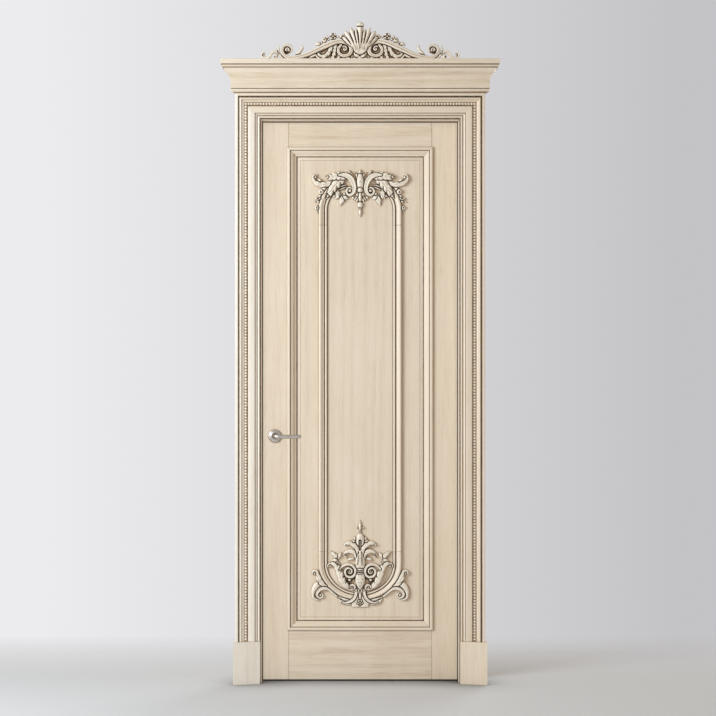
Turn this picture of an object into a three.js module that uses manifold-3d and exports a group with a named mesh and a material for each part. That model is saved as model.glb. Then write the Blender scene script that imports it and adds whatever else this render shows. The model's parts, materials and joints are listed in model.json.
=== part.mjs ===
// A carved wooden door in its surround: panelled leaf, lining, beaded casing, cornice and crest.
// Millimetres, +Z up, the front faces -Y. Heights are from the floor inside the set; the whole set is
// then lowered so that its origin lies on the back of the casing head, where it meets the wall.
import * as THREE from 'three';
import { mergeVertices } from 'three/addons/utils/BufferGeometryUtils.js';
import Module from 'manifold-3d';

const wasm = await Module();
wasm.setup();

// Gaps
const fitGap = 0.3; // between pieces that touch
const leafGap = 3; // between the leaf and its lining
const floorGap = 7; // under the leaf

// Leaf
const leafWidth = 800;
const leafHeight = 2291;
const leafThickness = 40;
const stileWidth = 105;
const topRailHeight = 106;
const bottomRailHeight = 206;
const panelThickness = 16;
const panelTongue = 10; // how far panel and rails reach into the grooves
const panelBevel = 11; // sloping margin round the raised field
const fieldRise = 3;
const mouldingLap = 5; // how far the panel moulding covers the stiles and rails
const mouldingWidth = 41;
const mouldingRise = 9;

// Lining and seal
const liningDepth = 100;
const liningThickness = 30;
const sealWidth = 5.5;
const sealDepth = 10;

// Casing, plinth blocks and cornice
const casingReveal = 6; // lining edge left showing inside the casing
const casingWidth = 99;
const casingDepth = 40;
const casingRebate = 0.3; // shallow cut in the back of the casing, so that it bears on the wall alone
const plinthHeight = 173;
const plinthOverhang = 8;
const plinthOuterDepth = 46;
const plinthInnerDepth = 16;
const corniceHeight = 131;
const corniceSpread = 56; // how far the top stands out beyond the casing

// Applied carving
const stripCentre = 152.3; // from the middle of the leaf to the middle of a strip
const stripWidth = 37;
const stripRise = 13;
const lowerOrnamentMargin = 94.5; // from the lower rail up to the lower ornament
const lowerOrnamentJoint = 226.5; // from the lower ornament's lowest point up to the strips
const upperOrnamentDrop = 317; // from the upper rail down to the top of the strips
const crestHalfWidth = 403;
const crestBackAt = 30; // from the wall to the back of the crest
const crestRail = 5;

// Handle and hinges
const handleHeight = 1008;
const handleBackset = 49; // from the closing edge to the spindle
const rosetteRadius = 27.5;
const rosetteThickness = 9;
const spindleSide = 8;
const leverReach = 62; // bar centre from the face of the leaf
const leverRadius = 8.5;
const leverLength = 116;
const hingeFromBottom = 253;
const hingeFromTop = 238;
const knuckleRadius = 6.5;
const knuckleLength = 45;
const pinRadius = 3.2;
const hingePlate = { width: 26, thickness: 2.2, height: 78 };

// Places worked out from the sizes above
const leafHalf = leafWidth / 2;
const leafBack = liningDepth;
const leafFront = leafBack - leafThickness;
const leafMiddle = (leafFront + leafBack) / 2;
const leafTop = floorGap + leafHeight;
const liningInner = leafHalf + leafGap;
const liningUnder = leafTop + leafGap;
const casingInner = liningInner + casingReveal;
const casingHeadUnder = liningUnder + casingReveal;
const casingOuter = casingInner + casingWidth;
const casingTop = casingHeadUnder + casingWidth;
const wallMountHeight = casingHeadUnder + casingWidth / 2;
const liningOuter = liningInner + liningThickness;
const liningFront = fitGap - casingRebate;
const rebateWidth = liningOuter + fitGap - casingInner;
const stileInner = leafHalf - stileWidth;
const panelLow = floorGap + bottomRailHeight;
const panelHigh = leafTop - topRailHeight;
const panelFront = leafMiddle - panelThickness / 2;
const fieldFront = panelFront - fieldRise;
const ornamentBack = fieldFront - fitGap;
const ornamentBottomAt = panelLow + lowerOrnamentMargin;
const stripBottomAt = ornamentBottomAt + lowerOrnamentJoint;
const stripTopAt = panelHigh - upperOrnamentDrop;
const lowestHinge = floorGap + hingeFromBottom;
const highestHinge = leafTop - hingeFromTop;
const hingeHeights = [lowestHinge, (lowestHinge + highestHinge) / 2, highestHinge];

const finishes = {
  wood: { color: 0xe0d0bb, roughness: 0.55, metalness: 0 },
  carvedWood: { color: 0xdcc8aa, roughness: 0.5, metalness: 0 },
  rubber: { color: 0x251b12, roughness: 0.8, metalness: 0 },
  nickel: { color: 0xa89b8b, roughness: 0.35, metalness: 0.9 },
};

function piece(name, geometry, finish, place = [0, 0, 0], turn = [0, 0, 0]) {
  const mesh = new THREE.Mesh(geometry, new THREE.MeshStandardMaterial(finishes[finish]));
  mesh.name = name;
  mesh.position.set(...place);
  mesh.rotation.set(...turn);
  return mesh;
}

// Solids for joining and cutting
function solidOf(geometry) {
  const bare = geometry.clone();
  bare.deleteAttribute('normal');
  bare.deleteAttribute('uv');
  const welded = mergeVertices(bare);
  return new wasm.Manifold(new wasm.Mesh({
    numProp: 3,
    vertProperties: new Float32Array(welded.attributes.position.array),
    triVerts: new Uint32Array(welded.index.array),
  }));
}

function geometryOf(solid) {
  const mesh = solid.getMesh();
  const geometry = new THREE.BufferGeometry();
  geometry.setAttribute('position', new THREE.BufferAttribute(new Float32Array(mesh.vertProperties), 3));
  geometry.setIndex(new THREE.BufferAttribute(new Uint32Array(mesh.triVerts), 1));
  geometry.computeVertexNormals();
  return geometry;
}

function joined(solids) {
  return solids.reduce((whole, next) => whole.add(next));
}

// A box between two corners
function block(low, high) {
  const size = high.map((value, axis) => value - low[axis]);
  const geometry = new THREE.BoxGeometry(...size);
  geometry.translate(...low.map((value, axis) => value + size[axis] / 2));
  return geometry;
}

// A round bar standing on its lower end
function post(radius, length, sides, place) {
  const geometry = new THREE.CylinderGeometry(radius, radius, length, sides);
  geometry.rotateX(Math.PI / 2);
  geometry.translate(place[0], place[1], place[2] + length / 2);
  return geometry;
}

// A skin over rings that all have the same number of points, with flat ends cut as the section is
function skinOver(rings, section) {
  const count = section.length;
  const positions = rings.flat().flatMap((point) => [point.x, point.y, point.z]);
  const index = [];
  for (let ring = 0; ring < rings.length - 1; ring += 1) {
    for (let i = 0; i < count; i += 1) {
      const here = ring * count + i;
      const next = ring * count + ((i + 1) % count);
      index.push(here, next, here + count, next, next + count, here + count);
    }
  }
  const last = (rings.length - 1) * count;
  const outline = section.map(([x, y]) => new THREE.Vector2(x, y));
  const clockwise = THREE.ShapeUtils.isClockWise(outline);
  for (const [a, b, c] of THREE.ShapeUtils.triangulateShape(outline, [])) {
    const [second, third] = clockwise ? [c, b] : [b, c];
    index.push(a, third, second, last + a, last + second, last + third);
  }
  const geometry = new THREE.BufferGeometry();
  geometry.setAttribute('position', new THREE.Float32BufferAttribute(positions, 3));
  geometry.setIndex(index);
  if (signedVolume(geometry) < 0) {
    index.reverse();
    geometry.setIndex(index);
  }
  geometry.computeVertexNormals();
  return geometry;
}

function signedVolume(geometry) {
  const position = geometry.attributes.position;
  const [a, b, c] = [new THREE.Vector3(), new THREE.Vector3(), new THREE.Vector3()];
  let volume = 0;
  for (let i = 0; i < geometry.index.count; i += 3) {
    a.fromBufferAttribute(position, geometry.index.getX(i));
    b.fromBufferAttribute(position, geometry.index.getX(i + 1));
    c.fromBufferAttribute(position, geometry.index.getX(i + 2));
    volume += a.dot(b.cross(c)) / 6;
  }
  return volume;
}

// Mouldings. A section is a list of [distance from the reference edge, rise from the ground].
// The bar runs along its own z, its section stands in x and -y, and each end may be mitred.
function mouldedBar(section, length, startMitre, endMitre) {
  const ringAt = (z, mitre) => section.map(([u, h]) => new THREE.Vector3(u, -h, z + mitre * u));
  return skinOver([ringAt(0, startMitre), ringAt(length, endMitre)], section);
}

function arc(centreU, centreH, radius, fromDegrees, toDegrees, steps) {
  const points = [];
  for (let i = 0; i <= steps; i += 1) {
    const angle = THREE.MathUtils.degToRad(fromDegrees + ((toDegrees - fromDegrees) * i) / steps);
    points.push([centreU + radius * Math.cos(angle), centreH + radius * Math.sin(angle)]);
  }
  return points;
}

// Fits a drawn section to a width and a rise.
function fitSection(points, width, rise) {
  const widest = Math.max(...points.map(([u]) => u));
  const highest = Math.max(...points.map(([, h]) => h));
  return points.map(([u, h]) => [(u * width) / widest, (h * rise) / highest]);
}

function casingSection() {
  const ground = 18;
  const bead = { at: 58.75, radius: 3.5 };
  const face = fitSection([
    [0, 9],
    ...arc(4, 9, 4, 150, 0, 4),
    [8, 12.5],
    [14, 13],
    [16, 16],
    [30, 19.5],
    [45, 21],
    [47, ground],
    ...arc(bead.at, ground, bead.radius, 180, 0, 4),
    [64.5, ground],
    [70, 22],
    [74, 29],
    [75, 31],
    [82, 31],
    [82.5, 27],
    [87.5, 27],
    [88, 40],
    [98, 40],
    [99, 39],
    [99, 0],
  ], casingWidth, casingDepth);
  return [[0, casingRebate], ...face, [rebateWidth, 0], [rebateWidth, casingRebate]];
}

// Rise here is from the face of the leaf, and the moulding reaches down to the panel beside it.
function panelMouldingSection() {
  const toPanel = leafFront - panelFront + fitGap;
  const step = mouldingLap + fitGap;
  const face = fitSection([
    [0, 5],
    ...arc(4.5, 4.5, 4.5, 165, 15, 4),
    [10, 6],
    [22, 4],
    [36, -3],
    [37, -6],
    [41, -8],
  ], mouldingWidth, mouldingRise);
  return [[0, fitGap], ...face, [mouldingWidth, toPanel], [step, toPanel], [step, fitGap]];
}

// Strip section from its outer edge to its inner edge
const stripSection = fitSection([
  [0, 0],
  [0, 5],
  [8, 13],
  [17, 9],
  [28, 3],
  [33, 6.6],
  [37, 0],
], stripWidth, stripRise);

const quarter = Math.PI / 2;

function lining() {
  const front = liningFront;
  const back = liningDepth;
  const outer = liningOuter;
  const under = liningUnder - fitGap;
  const top = liningUnder + liningThickness;
  return [
    piece('lining_left', block([-outer, front, 0], [-liningInner, back, under]), 'wood'),
    piece('lining_right', block([liningInner, front, 0], [outer, back, under]), 'wood'),
    piece('lining_head', block([-outer, front, liningUnder], [outer, back, top]), 'wood'),
  ];
}

function seals() {
  const back = leafFront - fitGap;
  const front = back - sealDepth;
  const outer = liningInner - fitGap;
  const inner = outer - sealWidth;
  const under = liningUnder - fitGap - sealWidth;
  const top = under - fitGap;
  return [
    piece('seal_left', block([-outer, front, floorGap], [-inner, back, top]), 'rubber'),
    piece('seal_right', block([inner, front, floorGap], [outer, back, top]), 'rubber'),
    piece('seal_head', block([-outer, front, under], [outer, back, under + sealWidth]), 'rubber'),
  ];
}

function casing() {
  const section = casingSection();
  const foot = plinthHeight + fitGap;
  const legLength = casingHeadUnder - fitGap - foot;
  const headLength = casingInner * 2;
  const mitreTop = legLength + foot;
  return [
    piece(
      'casing_left', mouldedBar(section, legLength, -1, 0), 'wood',
      [-casingInner, 0, mitreTop], [0, Math.PI, 0],
    ),
    piece('casing_right', mouldedBar(section, legLength, 0, 1), 'wood', [casingInner, 0, foot]),
    piece(
      'casing_head', mouldedBar(section, headLength, -1, 1), 'wood',
      [casingInner, 0, casingHeadUnder], [0, -quarter, 0],
    ),
  ];
}

function plinthBlocks() {
  const inner = casingInner - 1;
  const outer = casingOuter + plinthOverhang;
  const rebateEnd = liningOuter + fitGap;
  const corners = [
    [inner, -casingRebate],
    [rebateEnd, -casingRebate],
    [rebateEnd, 0],
    [outer, 0],
    [outer, -plinthOuterDepth],
    [inner, -plinthInnerDepth],
  ];
  return [-1, 1].map((side) => {
    const ringAt = (z) => corners.map(([x, y]) => new THREE.Vector3(side * x, y, z));
    const name = side < 0 ? 'plinth_block_left' : 'plinth_block_right';
    return piece(name, skinOver([ringAt(0), ringAt(plinthHeight)], corners), 'wood');
  });
}

// The cornice is drawn as its spread beyond the casing at rising heights.
function cornice() {
  const levels = fitSection([
    [2, 0],
    [6, 2.5],
    [9.5, 6],
    [11, 10],
    [13, 10],
    [13, 14],
    [16, 14],
    [16, 58],
    [17.5, 66],
    [22, 74],
    [29, 80],
    [35, 87],
    [38, 96],
    [46, 99],
    [46, 108],
    [49, 111],
    [52, 114],
    [56, 116],
    [56, 131],
  ], corniceSpread, corniceHeight);
  const corners = [[-1, 0], [1, 0], [1, -1], [-1, -1]];
  const rings = levels.map(([out, rise]) => corners.map(([x, y]) => (
    new THREE.Vector3(x * (casingOuter + out), y * (casingDepth + out), rise)
  )));
  return piece('cornice', skinOver(rings, corners), 'wood', [0, 0, casingTop + fitGap]);
}

// Leaf
function stile(side) {
  const name = side < 0 ? 'stile_left' : 'stile_right';
  const grooveBottom = stileInner + panelTongue + fitGap;
  const grooveHalf = panelThickness / 2 + fitGap;
  const outline = [
    [leafHalf, leafFront],
    [leafHalf, leafBack],
    [stileInner, leafBack],
    [stileInner, leafMiddle + grooveHalf],
    [grooveBottom, leafMiddle + grooveHalf],
    [grooveBottom, leafMiddle - grooveHalf],
    [stileInner, leafMiddle - grooveHalf],
    [stileInner, leafFront],
  ];
  const ringAt = (z) => outline.map(([x, y]) => new THREE.Vector3(side * x, y, z));
  const plain = skinOver([ringAt(floorGap), ringAt(leafTop)], outline);
  if (side > 0) {
    return piece(name, plain, 'wood');
  }
  const hole = new THREE.CylinderGeometry(spindleSide, spindleSide, leafThickness * 2, 16);
  hole.translate(handleBackset - leafHalf, leafMiddle, handleHeight);
  return piece(name, geometryOf(solidOf(plain).subtract(solidOf(hole))), 'wood');
}

// A rail has a tongue on each end, and a groove along the edge that holds the panel.
function rail(name, low, high, grooveUp) {
  const half = stileInner - fitGap;
  const tongueHalf = panelThickness / 2;
  const tongueEnd = stileInner + panelTongue;
  const body = solidOf(block([-half, leafFront, low], [half, leafBack, high]));
  const tongue = solidOf(block(
    [-tongueEnd, leafMiddle - tongueHalf, low],
    [tongueEnd, leafMiddle + tongueHalf, high],
  ));
  const depth = panelTongue + fitGap;
  const grooveHalf = tongueHalf + fitGap;
  const past = tongueEnd + 1;
  const [from, to] = grooveUp ? [high - depth, high + 1] : [low - 1, low + depth];
  const groove = solidOf(block(
    [-past, leafMiddle - grooveHalf, from],
    [past, leafMiddle + grooveHalf, to],
  ));
  return piece(name, geometryOf(body.add(tongue).subtract(groove)), 'wood');
}

function panel() {
  const tongue = panelTongue;
  const edge = { x: stileInner + tongue, low: panelLow - tongue, high: panelHigh + tongue };
  const inset = mouldingWidth - mouldingLap + fitGap;
  const margin = { x: stileInner - inset, low: panelLow + inset, high: panelHigh - inset };
  const field = { x: margin.x - panelBevel, low: margin.low + panelBevel, high: margin.high - panelBevel };
  const frameAt = (size, y) => [
    new THREE.Vector3(-size.x, y, size.low),
    new THREE.Vector3(size.x, y, size.low),
    new THREE.Vector3(size.x, y, size.high),
    new THREE.Vector3(-size.x, y, size.high),
  ];
  const back = panelFront + panelThickness;
  const rings = [
    frameAt(edge, back),
    frameAt(edge, panelFront),
    frameAt(margin, panelFront),
    frameAt(field, fieldFront),
  ];
  return piece('panel', skinOver(rings, [[-1, -1], [1, -1], [1, 1], [-1, 1]]), 'wood');
}

function panelMouldings(sideName) {
  const section = panelMouldingSection();
  const half = stileInner + mouldingLap;
  const low = panelLow - mouldingLap;
  const high = panelHigh + mouldingLap;
  const width = half * 2;
  const height = high - low;
  const upright = () => {
    const bar = mouldedBar(section, height - 2 * fitGap * 2, 1, -1);
    bar.translate(0, 0, fitGap * 2);
    return bar;
  };
  const level = () => mouldedBar(section, width, 1, -1);
  return [
    piece(`panel_moulding_${sideName}_left`, upright(), 'wood', [-half, 0, low]),
    piece(`panel_moulding_${sideName}_right`, upright(), 'wood', [half, 0, high], [0, Math.PI, 0]),
    piece(`panel_moulding_${sideName}_bottom`, level(), 'wood', [half, 0, low], [0, -quarter, 0]),
    piece(`panel_moulding_${sideName}_top`, level(), 'wood', [-half, 0, high], [0, quarter, 0]),
  ];
}

function strips() {
  const length = stripTopAt - stripBottomAt - fitGap * 2;
  const low = stripBottomAt + fitGap;
  const outer = stripCentre + stripWidth / 2;
  const bar = () => mouldedBar(stripSection, length, 0, 0);
  return [
    piece('panel_strip_left', bar(), 'carvedWood', [-outer, ornamentBack, low]),
    piece('panel_strip_right', bar(), 'carvedWood', [outer, ornamentBack, low + length], [0, Math.PI, 0]),
  ];
}

// Carving. A stroke lies along a smooth path on the ground plane y = 0 and stands out towards -y.
// Each of its points is [across, up, half width, height].
// A short stroke is a ridge, and a long one a flat band with sloping sides.
const ridgeSection = [[-1, 0], [0, 1], [1, 0]];
const bandSection = [[-1, 0], [-0.5, 1], [0.5, 1], [1, 0]];
const bandFrom = 7; // spans

// Half width and height at a share of the way along a stroke
function sizeAlong(points, share) {
  const at = share * (points.length - 1);
  const before = points[Math.floor(at)];
  const after = points[Math.min(Math.floor(at) + 1, points.length - 1)];
  const mix = at - Math.floor(at);
  return [2, 3].map((k) => before[k] + (after[k] - before[k]) * mix);
}

function curveThrough(vectors) {
  return new THREE.CatmullRomCurve3(vectors, false, 'catmullrom', 0.5);
}

// Lobes notch a leaf's two edges, each as deep as its share in lobeSides says.
function stroke(points, lobes = 0, lobeSides = [1, 1]) {
  const path = curveThrough(points.map(([x, z]) => new THREE.Vector3(x, 0, z)));
  const spans = points.length - 1;
  const section = spans < bandFrom ? ridgeSection : bandSection;
  const count = lobes > 0 ? lobes * 2 : Math.max(spans, 3);
  const notch = 0.36;
  const rake = 0.3;
  const rings = [];
  for (let i = 0; i <= count; i += 1) {
    const middle = path.getPoint(i / count);
    const along = path.getTangent(i / count);
    const across = new THREE.Vector3(along.z, 0, -along.x);
    const [width, height] = sizeAlong(points, i / count);
    const lobed = lobes > 0 && i > 0 && i < count;
    rings.push(section.map(([s, h]) => {
      const side = s < 0 ? lobeSides[0] : lobeSides[1];
      const cut = lobed && i % 2 === 0 ? 1 - notch * side * Math.abs(s) : 1;
      const lean = lobed && i % 2 === 1 ? rake * width * side * Math.abs(s) : 0;
      const point = middle.clone().addScaledVector(across, s * width * cut);
      point.addScaledVector(along, lean);
      point.y = -h * height;
      return point;
    }));
  }
  return solidOf(skinOver(rings, section));
}

// A volute's centre line, as stroke points. It shrinks by the same share in every turn.
function volute(centre, radii, degrees, widths, heights, steps = 8) {
  const points = [];
  for (let i = 0; i <= steps; i += 1) {
    const t = i / steps;
    const radius = radii[0] * (radii[1] / radii[0]) ** t;
    const angle = THREE.MathUtils.degToRad(degrees[0] + (degrees[1] - degrees[0]) * t);
    points.push([
      centre[0] + radius * Math.cos(angle),
      centre[1] + radius * Math.sin(angle),
      widths[0] + (widths[1] - widths[0]) * t,
      heights[0] + (heights[1] - heights[0]) * t,
    ]);
  }
  return points;
}

// A domed button, [across, up, radius, height]
function boss([x, z, radius, height]) {
  const sides = 5;
  const geometry = new THREE.CylinderGeometry(radius, radius * 0.5, height, sides);
  geometry.translate(x, -height / 2, z);
  return solidOf(geometry);
}

// Petals that fan out from one foot, each given by its tip [across, up, half width]
function fan(foot, tips, height) {
  return tips.map(([x, z, width]) => [
    [foot[0] + x * 0.12, foot[1], width * 0.45, height * 0.8],
    [foot[0] + (x - foot[0]) * 0.6, foot[1] + (z - foot[1]) * 0.62, width * 0.8, height],
    [x - x * 0.08, z - 6, width, height * 1.1],
    [x, z, width * 0.5, height * 0.6],
  ]);
}

const mirrorAcross = (points) => points.map(([x, ...rest]) => [-x, ...rest]);

// Joins a design: what stands in the middle once, and the right-hand half on both sides.
// The design's own numbers are enlarged by scale.
function carve(design, scale) {
  const enlarge = (points) => points.map((point) => point.map((value) => value * scale));
  const solids = [];
  for (const points of design.middleStrokes) {
    solids.push(stroke(enlarge(points)));
  }
  for (const button of enlarge(design.middleBosses)) {
    solids.push(boss(button));
  }
  for (const points of design.strokes.map(enlarge)) {
    solids.push(stroke(points), stroke(mirrorAcross(points)));
  }
  for (const { points, lobes, sides } of design.leaves) {
    solids.push(stroke(enlarge(points), lobes, sides));
    solids.push(stroke(mirrorAcross(enlarge(points)), lobes, [sides[1], sides[0]]));
  }
  for (const button of enlarge(design.bosses)) {
    solids.push(boss(button), ...mirrorAcross([button]).map(boss));
  }
  return joined(solids);
}

// A moulding bent along a path in the ground plane; the path keeps the section's outer edge on its left.
function bentStrip(path) {
  const rings = path.map(([x, z], i) => {
    const before = path[Math.max(i - 1, 0)];
    const after = path[Math.min(i + 1, path.length - 1)];
    const along = new THREE.Vector3(after[0] - before[0], 0, after[1] - before[1]).normalize();
    return stripSection.map(([u, h]) => {
      const offset = u - stripWidth / 2;
      return new THREE.Vector3(x + along.z * offset, -h, z - along.x * offset);
    });
  });
  return solidOf(skinOver(rings, stripSection));
}

// The ornaments are drawn for strips 152.3 mm from the middle, and grow with the strips' spacing.
const ornamentScale = stripCentre / 152.3;

function lowerOrnament() {
  const joint = lowerOrnamentJoint;
  const bendCentre = 172 * ornamentScale;
  const bendDepth = 125 * ornamentScale;
  const bendSteps = 12;
  const bend = [[-stripCentre, joint]];
  for (let i = 0; i <= bendSteps; i += 1) {
    const angle = Math.PI + (Math.PI * i) / bendSteps;
    bend.push([stripCentre * Math.cos(angle), bendCentre + bendDepth * Math.sin(angle)]);
  }
  bend.push([stripCentre, joint]);
  const design = {
    middleStrokes: [
      [[0, 62, 4, 14], [0, 84, 12, 18], [0, 108, 17, 21], [0, 134, 14, 19]],
      [[0, 128, 8, 17], [0, 146, 10, 19], [0, 158, 6, 14]],
      [[0, 150, 8, 12], [0, 200, 7, 13], [0, 262, 5, 12]],
      [[0, 40, 4, 10], [0, 66, 3, 10]],
      [[0, 300, 4, 9], [0, 324, 7, 11], [0, 342, 4, 8], [0, 354.6, 0.8, 5]],
      ...fan(
        [0, 258],
        [[-29, 270, 5], [-22, 288, 6], [-12, 298, 5], [0, 302, 6], [12, 298, 5], [22, 288, 6], [29, 270, 5]],
        12,
      ),
    ],
    middleBosses: [
      [0, 237, 4.6, 16],
      [0, 263, 4.2, 16],
      [0, 310, 5, 12],
      [0, 42, 7.5, 16],
      [0, 15, 10, 14],
    ],
    strokes: [
      [[80, 158, 4, 12], ...volute([44.3, 139.8], [31, 9.5], [90, 430], [5, 3.4], [16, 13], 9)],
      [
        [4, 196, 7, 12], [19, 237, 8, 17], [34, 261, 7, 18], [50, 268, 6, 17], [62, 257, 4, 14],
        [56, 250, 3, 12],
      ],
      [[8, 182, 6, 11], [31, 220, 7, 15], [51, 231, 6, 15], [68, 219, 4, 13], [61, 210, 3, 12]],
      [[15, 72, 5, 12], [25.6, 42.6, 6, 15], [46, 16, 5, 14], [66, 5, 3, 9]],
      [[0, 12, 8, 12], [30, 6, 5, 10], [52, 4, 4, 9]],
      [
        [66, 24, 4, 9], [109, 57, 5, 14], [133, 75, 5, 16], [160, 81, 5, 16], [184, 68, 5, 16],
        [189, 49, 4.6, 15], [177, 34, 4.4, 14], [162, 38, 3.6, 12],
      ],
      [[180, 120, 2, 7], [194, 96, 3.4, 10], [198, 68, 3.6, 10], [193, 44, 3, 8], [182, 29, 2, 6]],
      [[51, 216, 5, 11], [50, 204, 7, 13], [48, 192, 3, 8]],
      [[6, 146, 6, 12], [22, 142, 4, 12]],
      [[46, 124, 5, 10], [43, 108, 5, 11], [40, 88, 5, 10]],
      [[64, 150, 5, 10], [82, 176, 5, 12], [102, 202, 8, 15], [121, 227, 2, 8]],
      [[80, 176, 4, 10], [82, 198, 8, 14], [86, 220, 2, 8]],
    ],
    leaves: [
      {
        points: [
          [22, 68, 3, 12], [58, 93, 13, 19], [86, 121, 19, 24], [106, 149, 17, 24], [116, 172, 8, 18],
          [121, 182, 4, 14],
        ],
        lobes: 5,
        sides: [0.9, 0.15],
      },
      {
        points: [
          [132, 82, 10, 14], [157, 111, 11, 18], [171, 134, 8, 16], [182, 149, 5, 13], [192, 143, 3, 10],
        ],
        lobes: 4,
        sides: [0.4, 0.8],
      },
      { points: [[24, 31, 4, 10], [56, 34, 9, 14], [92, 41, 2, 8]], lobes: 3, sides: [0.7, 0.7] },
      {
        points: [[40, 10, 4, 9], [70, 12, 8, 12], [88, 24, 5, 11], [93, 38, 2, 8]],
        lobes: 3,
        sides: [0.3, 0.8],
      },
      { points: [[78, 180, 4, 10], [94, 186, 7, 12], [108, 188, 2, 8]], lobes: 2, sides: [0.8, 0.8] },
    ],
    bosses: [
      [44.3, 139.8, 7.5, 17],
      [56, 252, 5, 16],
      [60, 211, 5, 15],
      [10.5, 322, 5, 9],
      [42.6, 107.4, 7, 15],
      [28, 77, 10, 16],
      [118, 170, 10, 20],
      [167, 47.7, 8, 16],
      [186, 138, 6, 14],
    ],
  };
  const whole = carve(design, ornamentScale).add(bentStrip(bend));
  return piece('ornament_bottom', geometryOf(whole), 'carvedWood', [0, ornamentBack, ornamentBottomAt]);
}

function upperOrnament() {
  const archStraight = 64 * ornamentScale;
  const archRadius = 110 * ornamentScale;
  const archDegrees = 66;
  const archSteps = 5;
  const arch = (side) => {
    const path = [[side * stripCentre, 0]];
    for (let i = 0; i <= archSteps; i += 1) {
      const angle = THREE.MathUtils.degToRad((archDegrees * i) / archSteps);
      const x = stripCentre - archRadius + archRadius * Math.cos(angle);
      path.push([side * x, archStraight + archRadius * Math.sin(angle)]);
    }
    return bentStrip(side < 0 ? path : path.reverse());
  };
  const design = {
    middleStrokes: [
      [[0, 146, 9, 16], [0, 180, 12, 19], [0, 212, 10, 18], [0, 230, 2, 9]],
      [[0, 96, 3, 10], [0, 114, 8, 14], [0, 142, 5, 13]],
      [[0, 34.6, 0.8, 6], [0, 48, 7, 11], [0, 62, 4, 10], [0, 82, 8, 12], [0, 98, 3, 10]],
    ],
    middleBosses: [
      [0, 146.2, 12, 20],
      [0, 69, 6, 12],
    ],
    strokes: [
      [
        [30, 222, 4, 13], [24, 196, 7, 17], [20, 164, 7, 18], [21, 140, 6, 17], [38, 127, 5, 16],
        [56, 138, 4.6, 15], [55, 152, 4, 14], [44, 156, 3.4, 13], [37, 148, 3, 12],
      ],
      [[6, 170, 6, 12], [16, 200, 7, 15], [28, 218, 3, 9]],
      [[8, 122, 4, 11], [18, 112, 5, 12], [29, 117, 3, 10]],
      [
        [100, 184, 5, 12], [124, 171, 9, 16], [152, 166, 10, 18], [178, 174, 8, 17], [193, 190, 6, 16],
        [191, 204, 4.4, 14], [181, 205, 3.4, 12],
      ],
      [[146, 172, 4, 12], [152, 184, 5, 12], [158, 193, 1, 7]],
      [
        [140, 168, 5, 12], [147, 156, 6, 12], [160, 141, 8, 15], [160, 124, 4, 11], [170, 106, 7, 14],
        [176, 84, 3, 9],
      ],
      [[176, 84, 3, 9], [176, 66, 4, 10], [172, 50, 1.5, 7]],
      [[40, 166, 3, 10], [62, 162, 3, 11], [88, 155, 3, 9]],
      [[44, 128, 5, 11], [60, 116, 8, 13], [70, 104, 8, 13], [77, 82, 1.5, 7]],
      [[58, 124, 5, 10], [78, 120, 6, 12], [96, 126, 7, 13], [106, 118, 2, 8]],
    ],
    leaves: [
      {
        points: [
          [26, 188, 6, 14], [58, 197, 15, 20], [90, 202, 17, 24], [120, 202, 13, 24], [136, 198, 7, 18],
          [142, 190, 3, 12],
        ],
        lobes: 5,
        sides: [0.9, 0.4],
      },
      {
        points: [
          [70, 190, 10, 16], [97, 166, 15, 21], [120, 141, 11, 20], [134, 122, 5, 17], [142, 116, 3, 13],
        ],
        lobes: 4,
        sides: [0.6, 0.8],
      },
    ],
    bosses: [
      [40.3, 143, 7, 18],
      [184, 197, 5, 14],
      [134, 200, 8, 20],
      [162, 140, 6, 17],
      [173, 105, 8, 14],
      [176, 72, 7, 12],
    ],
  };
  const whole = carve(design, ornamentScale).add(arch(-1)).add(arch(1));
  return piece('ornament_top', geometryOf(whole), 'carvedWood', [0, ornamentBack, stripTopAt]);
}

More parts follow.
